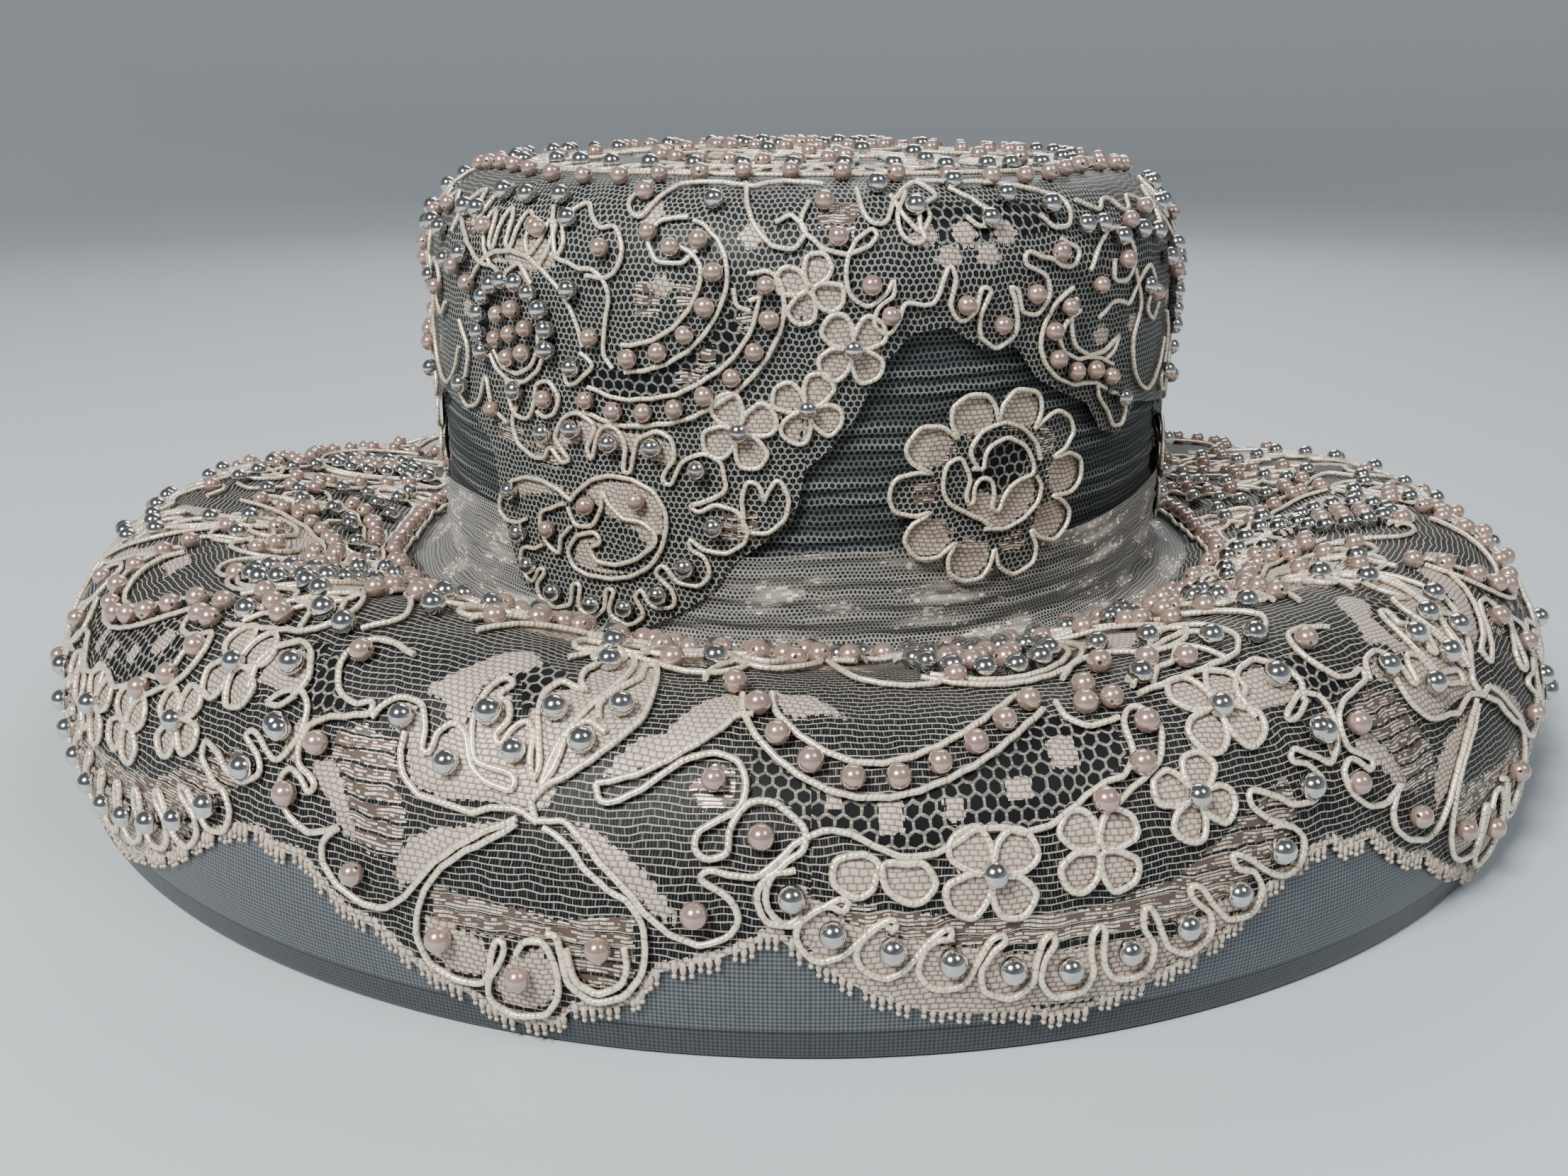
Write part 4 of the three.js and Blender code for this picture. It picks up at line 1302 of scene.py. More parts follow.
crown_lace.shape(
    "glitter", *polar((62, -50), (63, -30), (62, -10), (72, -10), (73, -30), (72, -50))
)
crown_lace.shape("glitter", *polar((27, 30), (27, 56), (38, 58), (40, 42)))
crown_lace.fit = fit_crown

# The band by the shoulder: a small fan with narrow drips, arrows and silver beads.
crown_lace.cord(
    (-76, 113.5), (-79, 117), (-81, 122), (-79.4, 124.6), (-77.6, 122), (-77, 117.5),
    (-75.4, 117.5), (-75, 122), (-73.4, 125.4), (-71.4, 123), (-71, 118), (-69.4, 117.6),
    (-68.6, 121), (-67, 125), (-64.8, 123.6), (-64.6, 118.6), (-63, 117), (-60.4, 119.4),
    (-59, 123.4), (-57, 122.6), (-57.4, 118.4), (-60, 114.4)
)
crown_lace.cord(
    (-97, 124), (-92, 121), (-86, 117), (-80, 113.8), (-76, 113.5), (-71, 112), (-66, 114.6),
    (-62, 110.6)
)
crown_lace.cord(
    (-97, 119), (-95, 126), (-91, 128), (-88, 124), (-86, 121), (-84, 125), (-83.4, 128.6),
    (-80, 129.4)
)
crown_lace.cord(
    (-38, 131), (-40, 127), (-36, 124.8), (-34, 127.4), (-30, 130.6), (-22, 131.2), (-12, 130.6),
    (-6, 131.4), (4, 131)
)
crown_lace.cord(
    (-14, 131), (-12, 126), (-8, 121), (-3, 119.6), (0, 122.6), (-3, 125.4), (-6.4, 124.4)
)
crown_lace.cord(
    (11.6, 130), (12.6, 125.4), (16, 123.8), (20, 128.4), (26.5, 131), (29.6, 128.6), (25.4, 127),
    (24, 123.6), (24.6, 120.8), (20.4, 121.2), (19.4, 125), (22.8, 129.4)
)
crown_lace.cord(
    (27, 131.4), (37, 131), (48, 130.6), (58, 129), (64, 127), (63, 123.6), (58, 122), (54, 124.6)
)
crown_lace.cord((34, 130), (39, 127.4), (42, 124), (37.6, 123), (35, 125))
crown_lace.cord(
    (66, 113), (70, 118), (76, 121), (82, 119), (84, 114), (80, 110), (75, 111), (75, 115)
)
crown_lace.cord(
    (70, 103), (76, 106), (82, 105), (86, 109), (92, 112), (96, 108), (92, 103), (96, 100),
    (100, 103)
)
crown_lace.cord((68, 127), (74, 125), (80, 127), (86, 124), (92, 127), (98, 125))
crown_lace.bead(
    (-70, 127.4), (-80, 127.6), (-86, 124), (-59, 127.6), (-20, 127.6), (16.5, 130.4),
    (35.6, 130.6), (47, 128), (58, 126), (-93, 124), (72, 122), (90, 108), (88, 120), (97, 119),
    (-97, 113)
)
crown_lace.pearl(
    (-62.5, 122), (-33, 122), (-92, 112), (-85, 109), (69, 110), (79, 114.6), (95, 124), (84, 122),
    (-37, 129), (4, 127.6), (95, 106)
)
for x, y in ((-66, 110), (-88, 103), (86, 100), (72, 99), (-30, 112)):
    crown_lace.leaf((x - 3, y), (x, y - 2.2), (x + 3.4, y), (x, y + 2.4))
crown_lace.shape(
    "leaves", (-76, 114), (-66, 115.4), (-60, 113), (-57, 117), (-63, 116.4), (-70, 117),
    (-78, 116.6)
)
crown_lace.shape("glitter", (-97, 121), (-88, 118), (-84, 124), (-92, 127))
crown_lace.shape("glitter", (2, 124), (10, 122), (12, 128), (4, 129))

# What is woven between the cords of the wall.
crown_lace.shape(
    "open", (-44, 96), (-38, 94.4), (-30, 96), (-22, 99.6), (-16, 106), (-14.4, 112), (-12, 104),
    (-15, 97), (-22, 91), (-32, 88.4), (-42, 88.6), (-50, 91)
)
crown_lace.shape("open", (16, 128), (30, 128), (60, 128), (60, 122), (36, 120), (22, 120))
for x, y in ((25, 122), (34, 122), (44, 122), (30, 117.6), (39, 117.6), (-34, 126), (-11, 122),
             (33, 94), (42, 92)):
    crown_lace.leaf((x - 3.2, y), (x, y - 2.4), (x + 3.2, y), (x, y + 2.6))
for block in ((-36, 106, 6, 7), (-27, 107, 5, 6), (-22, 96, 4, 5), (-27, 92, 5, 4),
              (-14, 104, 4, 4), (-2, 64, 12, 3), (-18, 61, 8, 6), (-64, 72, 8, 4),
              (-78, 76, 10, 4)):
    crown_lace.block("glitter", *block)
crown_lace.shape("leaves", (-53, 67), (-58, 68.6), (-66, 68.8), (-72, 66.8), (-70, 64), (-62, 66))
crown_lace.shape(
    "leaves", (-50, 68.6), (-44, 71.4), (-36, 71.6), (-31, 68), (-30.6, 62), (-33, 57), (-38, 62),
    (-44, 64)
)
crown_lace.shape(
    "leaves", (-53, 52), (-46, 50.8), (-40, 51.8), (-46, 53), (-49, 56), (-46, 59), (-52, 57)
)
crown_lace.shape("leaves", (-70, 114), (-60, 113), (-54, 116), (-60, 120), (-70, 119))
crown_lace.shape(
    "leaves", (-70, 78), (-66, 76), (-58, 80), (-48, 84), (-40, 82), (-32, 82), (-26, 78),
    (-28, 76), (-38, 78), (-50, 79), (-60, 75)
)
crown_lace.tell("crown")

# %% [markdown]
# ## The lace ground
# One sheet carries four kinds of weave: fine net with long threads, open net, close leaves and
# dark bands with metal glitter. Cutting each shape out would leave hard steps, so the sheet
# knows at every point how deep it is inside a leaf, and the finish draws the edge there, with
# small stairs like the real weave. The net's holes are filled with a dark, nearly opaque colour,
# painted shade that darkens the grey satin under them. The leaves' stitches are painted lighter
# on top and darker between them, as painted light and shade. Leaves are also a little thicker, so
# light rakes their edges.

# %% The lace finish
WEAVE_ROW, WEAVE_STITCH = 0.95, 1.5  # mm: rows of the close weave and stitches along them
FLECK_WIDE, FLECK_TALL = 1.05, 0.62  # mm: one metal thread of a glitter band
LONG_ROW, LONG_TIE = 1.2, 1.9  # mm: threads of the brim's net and the ties between them


def lace_finish(name, net_of, thread_colour):
    """Four weaves, with painted shade in the holes: a dark, nearly opaque fill over the satin."""
    material, graph, shader = finish(name, roughness=0.5, specular_ior_level=0.15)
    uv, x, y = flat_place(graph)
    stairs = ((x / 1.7).share() > 0.5) * 0.35 + ((y / 2.1).share() > 0.5) * 0.35
    leaf = (graph.attribute("leaves") + stairs) > 0.35
    wide = graph.attribute("open") > 0.1
    spark = (graph.attribute("glitter") + stairs) > 0.5
    moved_x, moved_y = wander(graph, uv, x, y, 2.2, 150.0)
    net = net_of(moved_x, moved_y)
    honeycomb = six_sided_net(moved_x, moved_y, 2.6, 0.20)
    threads = net * (1 - wide) + honeycomb * wide
    row = moved_y / WEAVE_ROW + moved_x * 0.04
    beside = (x / WEAVE_STITCH + row.floor() * 0.37).off_middle() * 2
    above = row.off_middle() * 2
    woven = (1 - beside * beside * beside * beside) * (1 - above * above * above)
    band = spark * ((moved_y / 2.5).share() > 0.2)
    chance = cell_chance(graph, moved_x, moved_y, FLECK_WIDE, FLECK_TALL)
    short = (moved_x / FLECK_WIDE).off_middle() < 0.46
    slim = ((moved_y / FLECK_TALL).off_middle() < 0.3) * short
    clouds = stretched_noise(graph, uv, 260, 700)
    fleck = band * (clouds + chance * 0.3 > 0.6) * slim * (1 - leaf)
    solid = threads.either(leaf).either(band)
    colour = graph.mix(noise(graph, uv, 70.0) * 0.5 + net * 0.5, rgb(52, 54, 53), thread_colour)
    colour = graph.mix(band, colour, rgb(94, 81, 73))
    colour = graph.mix(fleck * (chance * 0.7 + 0.3), colour, rgb(255, 244, 228))
    # Painted light and shade of the leaves' stitches: lighter on each stitch, darker between them,
    # with some random tone.
    stitch_light_shade_and_tone = woven * 0.9 + noise(graph, uv, 160.0) * 0.35 - 0.15
    colour = graph.mix(leaf, colour, graph.mix(stitch_light_shade_and_tone, rgb(92, 82, 74), rgb(196, 182, 168)))
    # Painted shade in the holes: a near-black, nearly opaque fill, with fine threads across it in
    # the long net.
    hair = ((moved_x / 0.55).off_middle() > 0.36) * (1 - wide)
    colour = graph.mix(solid, graph.mix(hair, rgb(9, 11, 13), rgb(54, 56, 55)), colour)
    relief = leaf * (woven * 0.7 + 1.2) + threads * (0.6 - leaf * 0.6) + fleck * 0.5
    wire_up(graph, shader, base_color=colour, alpha=solid.either(wide * 0.1 + 0.84),
            metallic=band * 0.4 + fleck * 0.4 + leaf * 0.2, normal=bump(graph, relief, 0.16, 0.7))
    return material


def long_net(x, y):
    """Long wavy threads, tied by finer ones."""
    row = y / LONG_ROW
    tie = x / LONG_TIE + row.floor() * 0.37
    return (row.off_middle() > 0.41).either((tie.off_middle() > 0.455) * 0.7)


def close_net(x, y):
    return six_sided_net(x, y, 1.4, 0.24)


brim_net = lace_finish("beige brim lace", long_net, rgb(168, 161, 150))
crown_net = lace_finish("beige crown lace", close_net, rgb(134, 135, 130))

# %% The ground of each drawing
LACE_LIFT, CAP_LIFT = 0.75, 2.9  # mm over the brim's face and over the crown's
LEAF_THICK, LEAF_SLOPE = 0.3, 0.8  # mm: how far a leaf stands up, and over what width it rises


class Ground:
    """What a drawing is laid on: its face, the radius it is drawn at, its repeats, its lift."""

    def __init__(self, face, radius, repeats, lift):
        self.face, self.radius, self.repeats, self.lift = face, radius, repeats, lift
        self.width = TAU * radius / repeats

    def turn(self, across, repeat):
        """The turn round the head of a place on one of the repeats."""
        return across / self.radius + TAU * repeat / self.repeats

    def across(self, turn):
        """Where a turn falls on its repeat, in mm from the repeat's middle."""
        return np.mod(turn * self.radius + self.width / 2, self.width) - self.width / 2

    def edge_up(self, turn, edge):
        """The height of a lower edge that is drawn for one repeat."""
        edge = np.vstack([edge, edge[:1] + [self.width, 0]])
        place = np.mod(self.across(turn) - edge[0, 0], self.width) + edge[0, 0]
        return np.interp(place, edge[:, 0], edge[:, 1])


brim_ground = Ground(brim_cover, BRIM_RADIUS, BRIM_REPEATS, LACE_LIFT)
crown_ground = Ground(crown_face, CROWN_RADIUS, CROWN_REPEATS, CAP_LIFT)


def lace_values(drawing, across, up):
    """How deep each point of a lace sheet is inside each kind of weave."""
    points = np.stack(np.broadcast_arrays(across, up), -1)
    kinds = ("leaves", "open", "glitter")
    return {kind: deepest(points, getattr(drawing, kind)) for kind in kinds}


def leaf_relief(values):
    return np.clip(values["leaves"] / LEAF_SLOPE, 0, 1) * LEAF_THICK


# %% The lace on the brim
BRIM_COLUMNS, BRIM_ROWS = 864, 80
WOVEN_EDGE, QUILT = 1.4, 0.25  # mm: a close band along the edge, and soft swellings
SCALLOP_EDGE = [  # mm round the repeat, mm over the hem
    (-93, 25), (-86, 25.5), (-81, 21), (-76, 18), (-70, 16.5), (-65, 12.5), (-60, 9.6),
    (-54, 7.8), (-50, 4.6), (-45, 3.6), (-40, 5), (-37.5, 8), (-32, 9), (-27, 11), (-24, 16.5),
    (-16, 19), (-10, 21.5), (-6, 24), (-1.5, 21), (4, 17), (9, 13.6), (16, 10.6), (24, 9.4),
    (31, 8.6), (36, 6.6), (41, 7), (46, 9), (54, 11.4), (61, 14.4), (67, 18.4), (74, 23.4),
    (81, 26.4), (86, 27),
]


def scallop_up(turn):
    return brim_ground.edge_up(turn, fit_brim(SCALLOP_EDGE))


turns = even_turns(BRIM_COLUMNS)[:, None]
low = scallop_up(turns)
high = brim_face.length(turns) - SATIN - VEIL_REACH
ups = low + (high - low) * np.linspace(0, 1, BRIM_ROWS)
values = lace_values(brim_lace, brim_ground.across(turns), ups)
values["leaves"] = np.maximum(values["leaves"], WOVEN_EDGE - (ups - low))
swelling = QUILT * np.sin(turns * 31 + ups / 9) * np.sin(ups / 7 + turns * 17)
points = brim_cover.at(turns, ups, LACE_LIFT + leaf_relief(values) + swelling)
brim_sheet = cloth_mesh("brim_lace_ground", points, length_round(BRIM_RADIUS, BRIM_COLUMNS), ups,
                        values=values)
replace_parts(hat_piece(brim_sheet, brim_net, "lace"), "brim_lace")

# %% The lace on the crown
CAP_COLUMNS, CAP_ROWS = 432, 100
POLE = 0.5  # mm: the sheet stops so far from the middle of the top
CAP_EDGE = [  # mm round the repeat, height of the lace's lower edge
    (-100, 80), (-92, 79), (-86, 78), (-80, 74), (-77, 60), (-71, 44), (-60, 39.5), (-48, 39),
    (-36, 39.6), (-28, 43.6), (-20, 49), (-15, 56), (-8, 61), (-2, 66), (0, 76), (5, 80),
    (10, 86), (16, 97), (22, 103), (30, 104), (38, 99), (46, 99), (52, 92), (60, 88), (68, 85),
    (74, 78), (82, 76), (90, 82),
]
turns = even_turns(CAP_COLUMNS)[:, None]
low = crown_ground.edge_up(turns, fit_crown(CAP_EDGE))
ups = low + (CROWN_REACH - POLE - low) * np.linspace(0, 1, CAP_ROWS)
values = lace_values(crown_lace, crown_ground.across(turns), ups)
points = crown_face.at(turns, ups, CAP_LIFT + leaf_relief(values))
cap_sheet = cloth_mesh("crown_lace_ground", points, length_round(CROWN_RADIUS, CAP_COLUMNS), ups,
                       values=values)
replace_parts(hat_piece(cap_sheet, crown_net, "lace"), "crown_lace")

# %% [markdown]
# ## Rosettes
# Three rosettes are cut from the same lace and sewn on the tulle: ten corded petals round a
# coiled middle. Each is a disc of rings, bent round the wall by the same face lookup, and its
# outline swells and pinches once for each petal.

# %% The rosettes
ROSETTE_MIDDLE = (42.0, 35.4)  # mm round the crown's repeat and up the wall
ROSETTE_REACH = (24.5, 20.5)
ROSETTE_PETALS = 10
PETAL_CORD = [  # radians on from the petal's start, share of the rosette's reach
    (0, 0.66), (0.05, 0.84), (0.16, 0.97), (0.31, 1), (0.46, 0.97), (0.57, 0.84), (0.62, 0.66),
]
PETAL_LEAF = [(0.06, 0.66), (0.06, 0.82), (0.18, 0.95), (0.31, 0.97), (0.45, 0.95), (0.56, 0.82),
              (0.56, 0.66)]
PETAL_GLITTER = [(0.1, 0.58), (0.12, 0.76), (0.31, 0.8), (0.5, 0.76), (0.52, 0.58)]
SWIRL = [  # this and the next three in mm from the rosette's middle
    (-6, 4.4), (-3.6, 4), (-3, 7), (-0.6, 9.4), (3, 9.8), (6.6, 8), (9, 5), (9.6, 1.8), (7, 0.9),
    (3.6, -0.4), (2, -2.6), (0.4, -5.4), (-1, -4.6), (-0.6, -1.4), (-1.6, 1.4), (-3.6, 2.2),
    (-5.4, 0.2), (-5.6, -2.6), (-6.6, -3.4), (-7.4, -1), (-6.6, 2), (-9, 6.6), (-11.6, 6),
    (-12.8, 2), (-12, -1.6), (-9, -4), (-5, -6), (-1, -8.4),
]
OUTER_ARC = [(-4.6, 4), (-6.6, 7.8), (-5, 11), (-1, 13), (3, 13), (7, 11), (10, 8), (11.4, 4.4)]
LOWER_ARC = [(-2.6, -8.8), (2, -9.4), (7, -8), (11, -5), (12, -1.6), (10.4, 1)]
MIDDLE_LEAF = [(-7, -1), (-5.4, -5.4), (-1, -8), (4, -8.6), (9, -6), (10.6, -1.6), (9, 1), (5, 0),
               (1.6, -2.6), (-2, -1)]


def petal_edge(angle):
    """The share of the rosette's reach at an angle: full on a petal, pinched between two."""
    wave = np.abs(np.sin(ROSETTE_PETALS / 2 * np.asarray(angle)))
    return 0.72 + 0.28 * wave**0.35


def rosette_point(angle, share):
    return np.array([ROSETTE_MIDDLE[0] + ROSETTE_REACH[0] * share * np.sin(angle),
                     ROSETTE_MIDDLE[1] + ROSETTE_REACH[1] * share * np.cos(angle)])


def on_petal(petal, outline):
    start = TAU * petal / ROSETTE_PETALS
    return [rosette_point(start + turn_on, share) for turn_on, share in outline]


def from_middle(points):
    return [(ROSETTE_MIDDLE[0] + x, ROSETTE_MIDDLE[1] + y) for x, y in points]


rosette = Drawing()
petals = range(ROSETTE_PETALS)
outline = [point for petal in petals for point in on_petal(petal, PETAL_CORD)]
rosette.cord(*outline, closed=True)
for stroke in (SWIRL, OUTER_ARC, LOWER_ARC):
    rosette.cord(*from_middle(stroke))
for petal in petals:
    if petal % 3 != 1:
        rosette.leaf(*on_petal(petal, PETAL_LEAF))
    rosette.shape("glitter", *on_petal(petal, PETAL_GLITTER))
rosette.leaf(*from_middle(MIDDLE_LEAF))
angles = np.linspace(0, TAU, 12, endpoint=False)
rosette.shape("open", *[rosette_point(a, 0.3) + np.array([1.0, 4.0]) for a in angles])

PETAL_RINGS, PETAL_SPOKES = 32, 160
PILLOW = 0.5  # mm that a rosette swells between its middle and its edge
ROSETTE_LIFT = CAP_LIFT - 0.3  # mm: a little lower than the cap's lace
angles = even_turns(PETAL_SPOKES)[:, None]
share = np.linspace(1, 0.02, PETAL_RINGS)[None, :] * petal_edge(angles)
across, up = rosette_point(angles, share)
pillow = PILLOW * np.sin(np.clip(share, 0, 1) * math.pi)
values = lace_values(rosette, across, up)
for number in range(CROWN_REPEATS):
    points = crown_face.at(crown_ground.turn(across, number), up, ROSETTE_LIFT + pillow)
    disc = cloth_mesh(f"rosette_lace_{number + 1}", points, across, up, values=values)
    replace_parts(hat_piece(disc, crown_net, "lace"), f"rosette_{number + 1}")

# %% [markdown]
# ## Cords
# A corded lace is outlined with a soft ivory cord, held down every three millimetres by a stitch.
# Each drawn line is laid on its face as a chain of points, and Geometry Nodes sweep a round
# section along all of them at once. The tree also stores how far along its cord a point is,
# which is what the finish needs for the wrap's ribs and for the stitches.

# %% The cord finish and the cord tree
RIB, STITCH = 0.95, 3.3  # mm along the cord
CORD_RADIUS, FINE_CORD = 0.62, 0.55
CORD_SIDES = 5
CORD_LIFT = 0.85  # mm from the lace's face to the cord's middle
CORD_WOBBLE = 0.12
STRAIGHT, MOST_STEPS = 0.07, 4  # mm that a straight piece may pass beside points, and how many
BRIM_SPLIT = 36  # mm up the brim: cords above it are a piece of their own


def cord_finish():
    """Twisted ivory silk: fine slanting ribs, painted lighter and darker along the twist as painted
    light and shade, and a tan stitch over it at even steps.
    """
    material, graph, shader = finish(
        "ivory cord", roughness=0.3, metallic=0.4, specular_ior_level=0.9,
        coat_weight=1.0, coat_roughness=0.14, coat_ior=1.9)
    along = graph.attribute("along") * 1000
    section = graph.split(graph.attribute("on_section", "Vector"))
    round_it = section["Y"].math("ARCTAN2", section["Y"], section["X"]) / TAU
    rib_light_and_shade = ((along / RIB + round_it) * TAU).sine() * 0.5 + 0.5
    stitch_and_crease_shade = (along / STITCH + section["X"] * 0.12).off_middle() < 0.055
    cloud = noise(graph, graph.object_place(), 150.0)
    # Painted light and shade along the twist: each rib lighter on its crest and darker in its
    # groove.
    colour = graph.mix(cloud * 0.45 + rib_light_and_shade * 0.55, rgb(208, 190, 160), rgb(253, 245, 226))
    colour = graph.mix(stitch_and_crease_shade * 0.7, colour, rgb(158, 132, 102))
    wire_up(graph, shader, base_color=colour, normal=bump(graph, rib_light_and_shade * 0.7 - stitch_and_crease_shade, 0.11, 0.8))
    return material


def node_group(name, **inputs):
    """An empty Geometry Nodes tree with named inputs: its graph and its input node."""
    tree = bpy.data.node_groups.new(name, "GeometryNodeTree")

    def socket(label, way, kind):
        tree.interface.new_socket(label, in_out=way, socket_type=f"NodeSocket{kind}")

    socket("Geometry", "INPUT", "Geometry")
    for key, kind in inputs.items():
        socket(key, "INPUT", kind)
    socket("Geometry", "OUTPUT", "Geometry")
    graph = Graph(tree)
    return graph, graph.node("NodeGroupInput")


def finish_group(graph, geometry, material):
    """Every tree ends in real geometry with its finish on it."""
    real = graph.node("GeometryNodeRealizeInstances", {}, [geometry])["Geometry"]
    painted = graph.node("GeometryNodeSetMaterial", {}, {"Geometry": real, "Material": material})
    graph.node("NodeGroupOutput", {}, [painted["Geometry"]])
    return graph.tree


def stored(graph, geometry, name, value, kind="FLOAT_VECTOR"):
    """The geometry with a value kept at each point."""
    return graph.node("GeometryNodeStoreNamedAttribute", {"data_type": kind, "domain": "POINT"},
                      {"Geometry": geometry, "Name": name, "Value": value})["Geometry"]


def recalled(graph, name, kind="FLOAT_VECTOR"):
    """A value that was kept at each point."""
    node = graph.node("GeometryNodeInputNamedAttribute", {"data_type": kind}, {"Name": name})
    return node["Attribute"]


def smoothed(graph, geometry):
    return graph.node("GeometryNodeSetShadeSmooth", {}, {"Geometry": geometry})["Geometry"]


def cord_group(material):
    graph, given = node_group("corded line", Radius="Float", Sides="Int")
    lines = graph.node("GeometryNodeMeshToCurve", {}, [given["Geometry"]])["Curve"]
    length = graph.node("GeometryNodeSplineParameter")["Length"]
    lines = stored(graph, lines, "along", length, "FLOAT")
    section = graph.node("GeometryNodeCurvePrimitiveCircle", {},
                         {"Resolution": given["Sides"], "Radius": given["Radius"]})["Curve"]
    place = graph.node("GeometryNodeInputPosition")["Position"]
    place = graph.node("ShaderNodeVectorMath", {"operation": "NORMALIZE"}, [place])["Vector"]
    section = stored(graph, section, "on_section", place)
    swept = graph.node("GeometryNodeCurveToMesh", {},
                       {"Curve": lines, "Profile Curve": section, "Fill Caps": True})["Mesh"]
    return finish_group(graph, smoothed(graph, swept), material)


def grown(name, points, edges, tree, attributes=None, **inputs):
    """Points, and the lines between them, turned into a plain mesh by a Geometry Nodes tree."""
    seed = bpy.data.meshes.new(name + "_seed")
    seed.from_pydata((np.asarray(points) * MM).tolist(), edges, [])
    for key, value in (attributes or {}).items():
        kind, field = ("FLOAT", "value") if np.ndim(value) == 1 else ("FLOAT_VECTOR", "vector")
        layer = seed.attributes.new(key, kind, "POINT")
        layer.data.foreach_set(field, np.asarray(value, np.float32).ravel())
    source = added(name + "_seed", seed)
    modifier = source.modifiers.new("grow", "NODES")
    modifier.node_group = tree
    for item in tree.interface.items_tree:
        if item.in_out == "INPUT" and item.name.lower() in inputs:
            modifier[item.identifier] = inputs[item.name.lower()]
    evaluated = source.evaluated_get(bpy.context.evaluated_depsgraph_get())
    mesh = bpy.data.meshes.new_from_object(evaluated)
    mesh.name = name
    bpy.data.objects.remove(source)
    return added(name, mesh)


def fewer_points(line):
    """The line without the points that a straight piece passes within a hair of."""
    kept, last = [0], len(line) - 1
    while kept[-1] < last:
        start = kept[-1]
        ahead = min(start + 1, last)
        for end in range(start + 2, min(start + MOST_STEPS, last) + 1):
            chord = line[end] - line[start]
            between = line[start + 1:end] - line[start]
            share = np.clip(between @ chord / max(chord @ chord, 1e-9), 0, 1)
            if np.linalg.norm(between - share[:, None] * chord, axis=1).max() > STRAIGHT:
                break
            ahead = end
        kept.append(ahead)
    return line[kept]


ivory_cord = cord_finish()
cord_tree = cord_group(ivory_cord)


def laid_cords(name, ground, cords, thick):
    """Each cord of a drawing, on every repeat, laid on its face and swept round."""
    points, edges, length = [], [], 0.0
    for repeat in range(ground.repeats):
        for cord in cords:
            phase = np.arange(len(cord)) * 0.9 + repeat * 1.7 + len(cord)
            up = cord[:, 1] + CORD_WOBBLE * np.sin(phase)
            line = ground.face.at(ground.turn(cord[:, 0], repeat), up, ground.lift + CORD_LIFT)
            length += run_along(line)[-1]
            line = fewer_points(line)
            closed = math.dist(cord[0], cord[-1]) < 0.05
            if closed:
                line = line[:-1]
            first, last = len(points), len(points) + len(line) - 1
            points.extend(line)
            edges += [(i, i + 1) for i in range(first, last)]
            if closed:
                edges.append((last, first))
    print(name, "cord:", round(length / 1000, 2), "m in", len(cords) * ground.repeats, "lengths")
    obj = grown(name, points, edges, cord_tree, radius=thick * MM, sides=CORD_SIDES)
    return hat_piece(obj, ivory_cord, "cord")


high = [cord for cord in brim_lace.cords if cord[:, 1].mean() > BRIM_SPLIT]
low = [cord for cord in brim_lace.cords if not cord[:, 1].mean() > BRIM_SPLIT]
brim_cords = laid_cords("brim_cords_low", brim_ground, low, CORD_RADIUS)
brim_cords_high = laid_cords("brim_cords_high", brim_ground, high, CORD_RADIUS)
crown_cords = laid_cords("crown_cords", crown_ground, crown_lace.cords, FINE_CORD)
rosette_cords = laid_cords("rosette_cords", crown_ground, rosette.cords, FINE_CORD)

# %% [markdown]
# ## Pearls and silver beads
# Hundreds of beads share one ball. Geometry Nodes put it on each seat, stand it on the cloth,
# turn it at random from a fixed seed and size it, and then make it real. Each point of a ball
# keeps its place on the ball, so the pearls' finish can paint the hole where the sewing thread goes
# in: painted shade inside it and a painted highlight round it.

# %% The beads
SMALL = 0.92  # the crown's beads, as a share of the brim's
SINK = 0.5  # mm that a bead sits in the lace
FLATNESS = 0.96


def ball(graph, segments, rings, radius):
    settings = {"Segments": segments, "Rings": rings, "Radius": radius}
    return graph.node("GeometryNodeMeshUVSphere", {}, settings)["Mesh"]


def standing(graph):
    """A rotation whose Z points out of the cloth."""
    return graph.node("FunctionNodeAlignRotationToVector", {"axis": "Z"},
                      {"Vector": recalled(graph, "outward")})["Rotation"]


def bead_group(name, material):
    graph, given = node_group(name, Seed="Int", Flatness="Float")
    bead = smoothed(graph, ball(graph, 12, 7, 1.0))
    bead = stored(graph, bead, "on_ball", graph.node("GeometryNodeInputPosition")["Position"])
    size = recalled(graph, "size", "FLOAT")
    chance = graph.node("FunctionNodeRandomValue", {"data_type": "FLOAT"},
                        {"Min": 0.0, "Max": TAU, "Seed": given["Seed"]})
    spin = graph.node("ShaderNodeCombineXYZ", {}, {"Z": chance[1]})["Vector"]
    turned = graph.node("FunctionNodeRotateRotation", {"rotation_space": "LOCAL"},
                        {"Rotation": standing(graph), "Rotate By": spin})["Rotation"]
    tall = graph.node("ShaderNodeCombineXYZ", {}, [size, size, size * given["Flatness"]])["Vector"]
    sewn = graph.node("GeometryNodeInstanceOnPoints", {}, {
        "Points": given["Geometry"], "Instance": bead, "Rotation": turned, "Scale": tall})
    return finish_group(graph, sewn["Instances"], material)


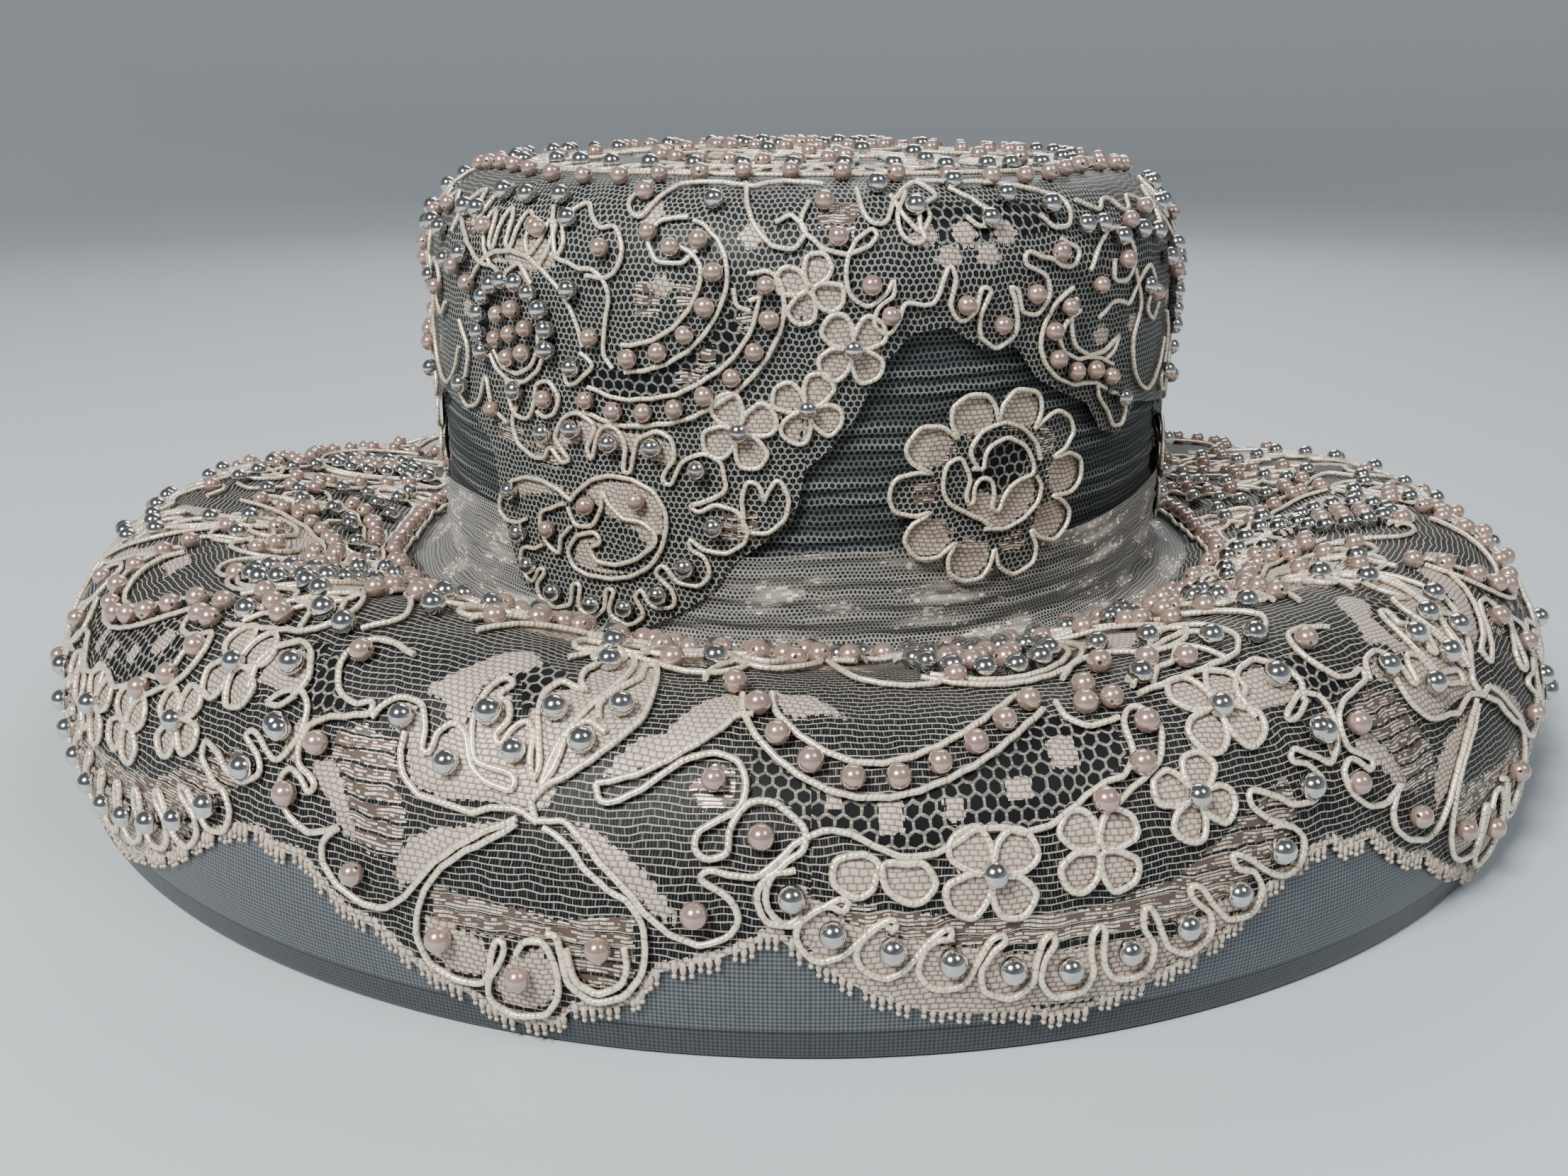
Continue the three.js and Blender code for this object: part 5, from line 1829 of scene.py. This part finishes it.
def pearl_finish():
    """Blush pearl with a painted highlight rim round the painted shade of its thread hole."""
    material, graph, shader = finish(
        "blush pearl", metallic=0.58, roughness=0.22, specular_ior_level=0.8,
        coat_weight=1.0, coat_roughness=0.08, coat_ior=1.6)
    on_ball = graph.split(graph.attribute("on_ball", "Vector"))
    from_hole = on_ball["Y"] * on_ball["Y"] + (on_ball["Z"] - 0.25) * (on_ball["Z"] - 0.25)
    painted_hole_shade = (from_hole < 0.03) * (on_ball["X"] > 0)
    painted_rim_highlight = (from_hole < 0.07) * (on_ball["X"] > 0)
    cloud = noise(graph, graph.object_place(), 240.0, 1.0)
    colour = graph.mix(cloud, rgb(190, 164, 152), rgb(150, 126, 115))
    # Painted highlight on the rim round the thread hole, and painted shade inside the hole, which
    # the mesh does not have.
    colour = graph.mix(painted_rim_highlight * 0.4, colour, rgb(232, 214, 204))
    colour = graph.mix(painted_hole_shade, colour, rgb(70, 54, 48))
    wire_up(graph, shader, base_color=colour)
    return material


def cloudy_finish(name, scale, light, dark, **values):
    """One colour that drifts a little towards another."""
    material, graph, shader = finish(name, **values)
    cloud = noise(graph, graph.object_place(), scale)
    wire_up(graph, shader, base_color=graph.mix(cloud, light, dark))
    return material


pearl = pearl_finish()
silver = cloudy_finish("silver bead", 300.0, rgb(226, 226, 224), rgb(168, 168, 168),
                       metallic=1.0, roughness=0.14, coat_weight=1.0, coat_roughness=0.05)
PEARL = (bead_group("sewn pearls", pearl), pearl, "pearl", 2.2)
SILVER = (bead_group("sewn silver beads", silver), silver, "silver_bead", 2.3)


def sewn_beads(name, kind, seed, ground, places, shrink=1.0):
    """A bead on each place of a drawing, on every repeat, standing out of the cloth."""
    tree, material, slot, radius = kind
    places = np.array(places)
    turn = np.concatenate([ground.turn(places[:, 0], r) for r in range(ground.repeats)])
    up = np.tile(places[:, 1], ground.repeats)
    lift = ground.lift + radius - SINK
    at = ground.face.at(turn, up, lift)
    outward = ground.face.at(turn, up, lift + 1.0) - at
    sizes = radius * shrink * MM * np.random.default_rng(seed).uniform(0.94, 1.05, len(at))
    values = {"outward": outward, "size": sizes}
    obj = grown(name, at, [], tree, values, seed=seed, flatness=FLATNESS)
    print(name, len(at))
    return hat_piece(obj, material, slot)


brim_pearls = sewn_beads("brim_pearls", PEARL, 1, brim_ground, brim_lace.pearls)
brim_silver = sewn_beads("brim_silver_beads", SILVER, 2, brim_ground, brim_lace.silver)
crown_pearls = sewn_beads("crown_pearls", PEARL, 3, crown_ground, crown_lace.pearls, SMALL)
crown_silver = sewn_beads("crown_silver_beads", SILVER, 4, crown_ground, crown_lace.silver, SMALL)

# %% [markdown]
# ## The looped edge
# The scallops end in a row of short upright thread loops, with a small gap after every six. One
# plump stitch with a knot at its foot is enough: it is put along the scallop edge at even steps,
# standing across it, and every third one sits a little higher.

# %% The loops
LOOP_STEP = 1.46  # mm along the edge
LOOP_TALL, LOOP_WIDE, LOOP_DEEP, KNOT = 1.3, 0.6, 0.5, 0.5  # mm from the middle to the outside
LOOPS_TO_GAP = 7  # every seventh is left out
EDGE_POINTS = 14401  # enough to measure the way round the scallops


def loop_group(material):
    graph, given = node_group("looped edge")
    small = ball(graph, 6, 4, MM)
    stitch_and_crease_shade = graph.node("GeometryNodeTransform", {}, {
        "Geometry": small, "Scale": (LOOP_WIDE, LOOP_TALL, LOOP_DEEP)})["Geometry"]
    knot = graph.node("GeometryNodeTransform", {}, {
        "Geometry": small, "Translation": (0.0, -LOOP_TALL * 1.1 * MM, 0.0),
        "Scale": (KNOT, KNOT, KNOT)})["Geometry"]
    pair = graph.node("GeometryNodeJoinGeometry", {}, [stitch_and_crease_shade])
    graph.tree.links.new(knot.socket, pair.node.inputs[0])
    stitch_and_crease_shade = smoothed(graph, pair["Geometry"])
    stand = graph.node("FunctionNodeAlignRotationToVector", {"axis": "X", "pivot_axis": "Z"},
                       {"Rotation": standing(graph), "Vector": recalled(graph, "along")})
    sewn = graph.node("GeometryNodeInstanceOnPoints", {}, {
        "Points": given["Geometry"], "Instance": stitch_and_crease_shade, "Rotation": stand["Rotation"]})
    return finish_group(graph, sewn["Instances"], material)


loop_thread = cloudy_finish("beige loops", 400.0, rgb(204, 190, 172), rgb(152, 138, 124),
                            roughness=0.45)
fine = np.linspace(0, TAU, EDGE_POINTS)
run = run_along(brim_face.at(fine, scallop_up(fine), LACE_LIFT))
stops = np.arange(0, run[-1] - LOOP_STEP / 2, LOOP_STEP)
stops = stops[np.arange(len(stops)) % LOOPS_TO_GAP != LOOPS_TO_GAP - 1]
loop_turns = np.interp(stops, run, fine)
loop_ups = scallop_up(loop_turns) - 0.5 + 0.7 * (np.arange(len(stops)) % 3 == 0)
at = brim_face.at(loop_turns, loop_ups, LACE_LIFT)
outward = brim_face.at(loop_turns, loop_ups, LACE_LIFT + 1.1) - at
level = brim_face.at(loop_turns + 0.002, loop_ups, LACE_LIFT + 0.1) - at
loops = grown("brim_looped_edge", at, [], loop_group(loop_thread),
              {"outward": outward, "along": level})
hat_piece(loops, loop_thread, "cord")
print("loops", len(stops), "on", round(float(run[-1])), "mm of edge")
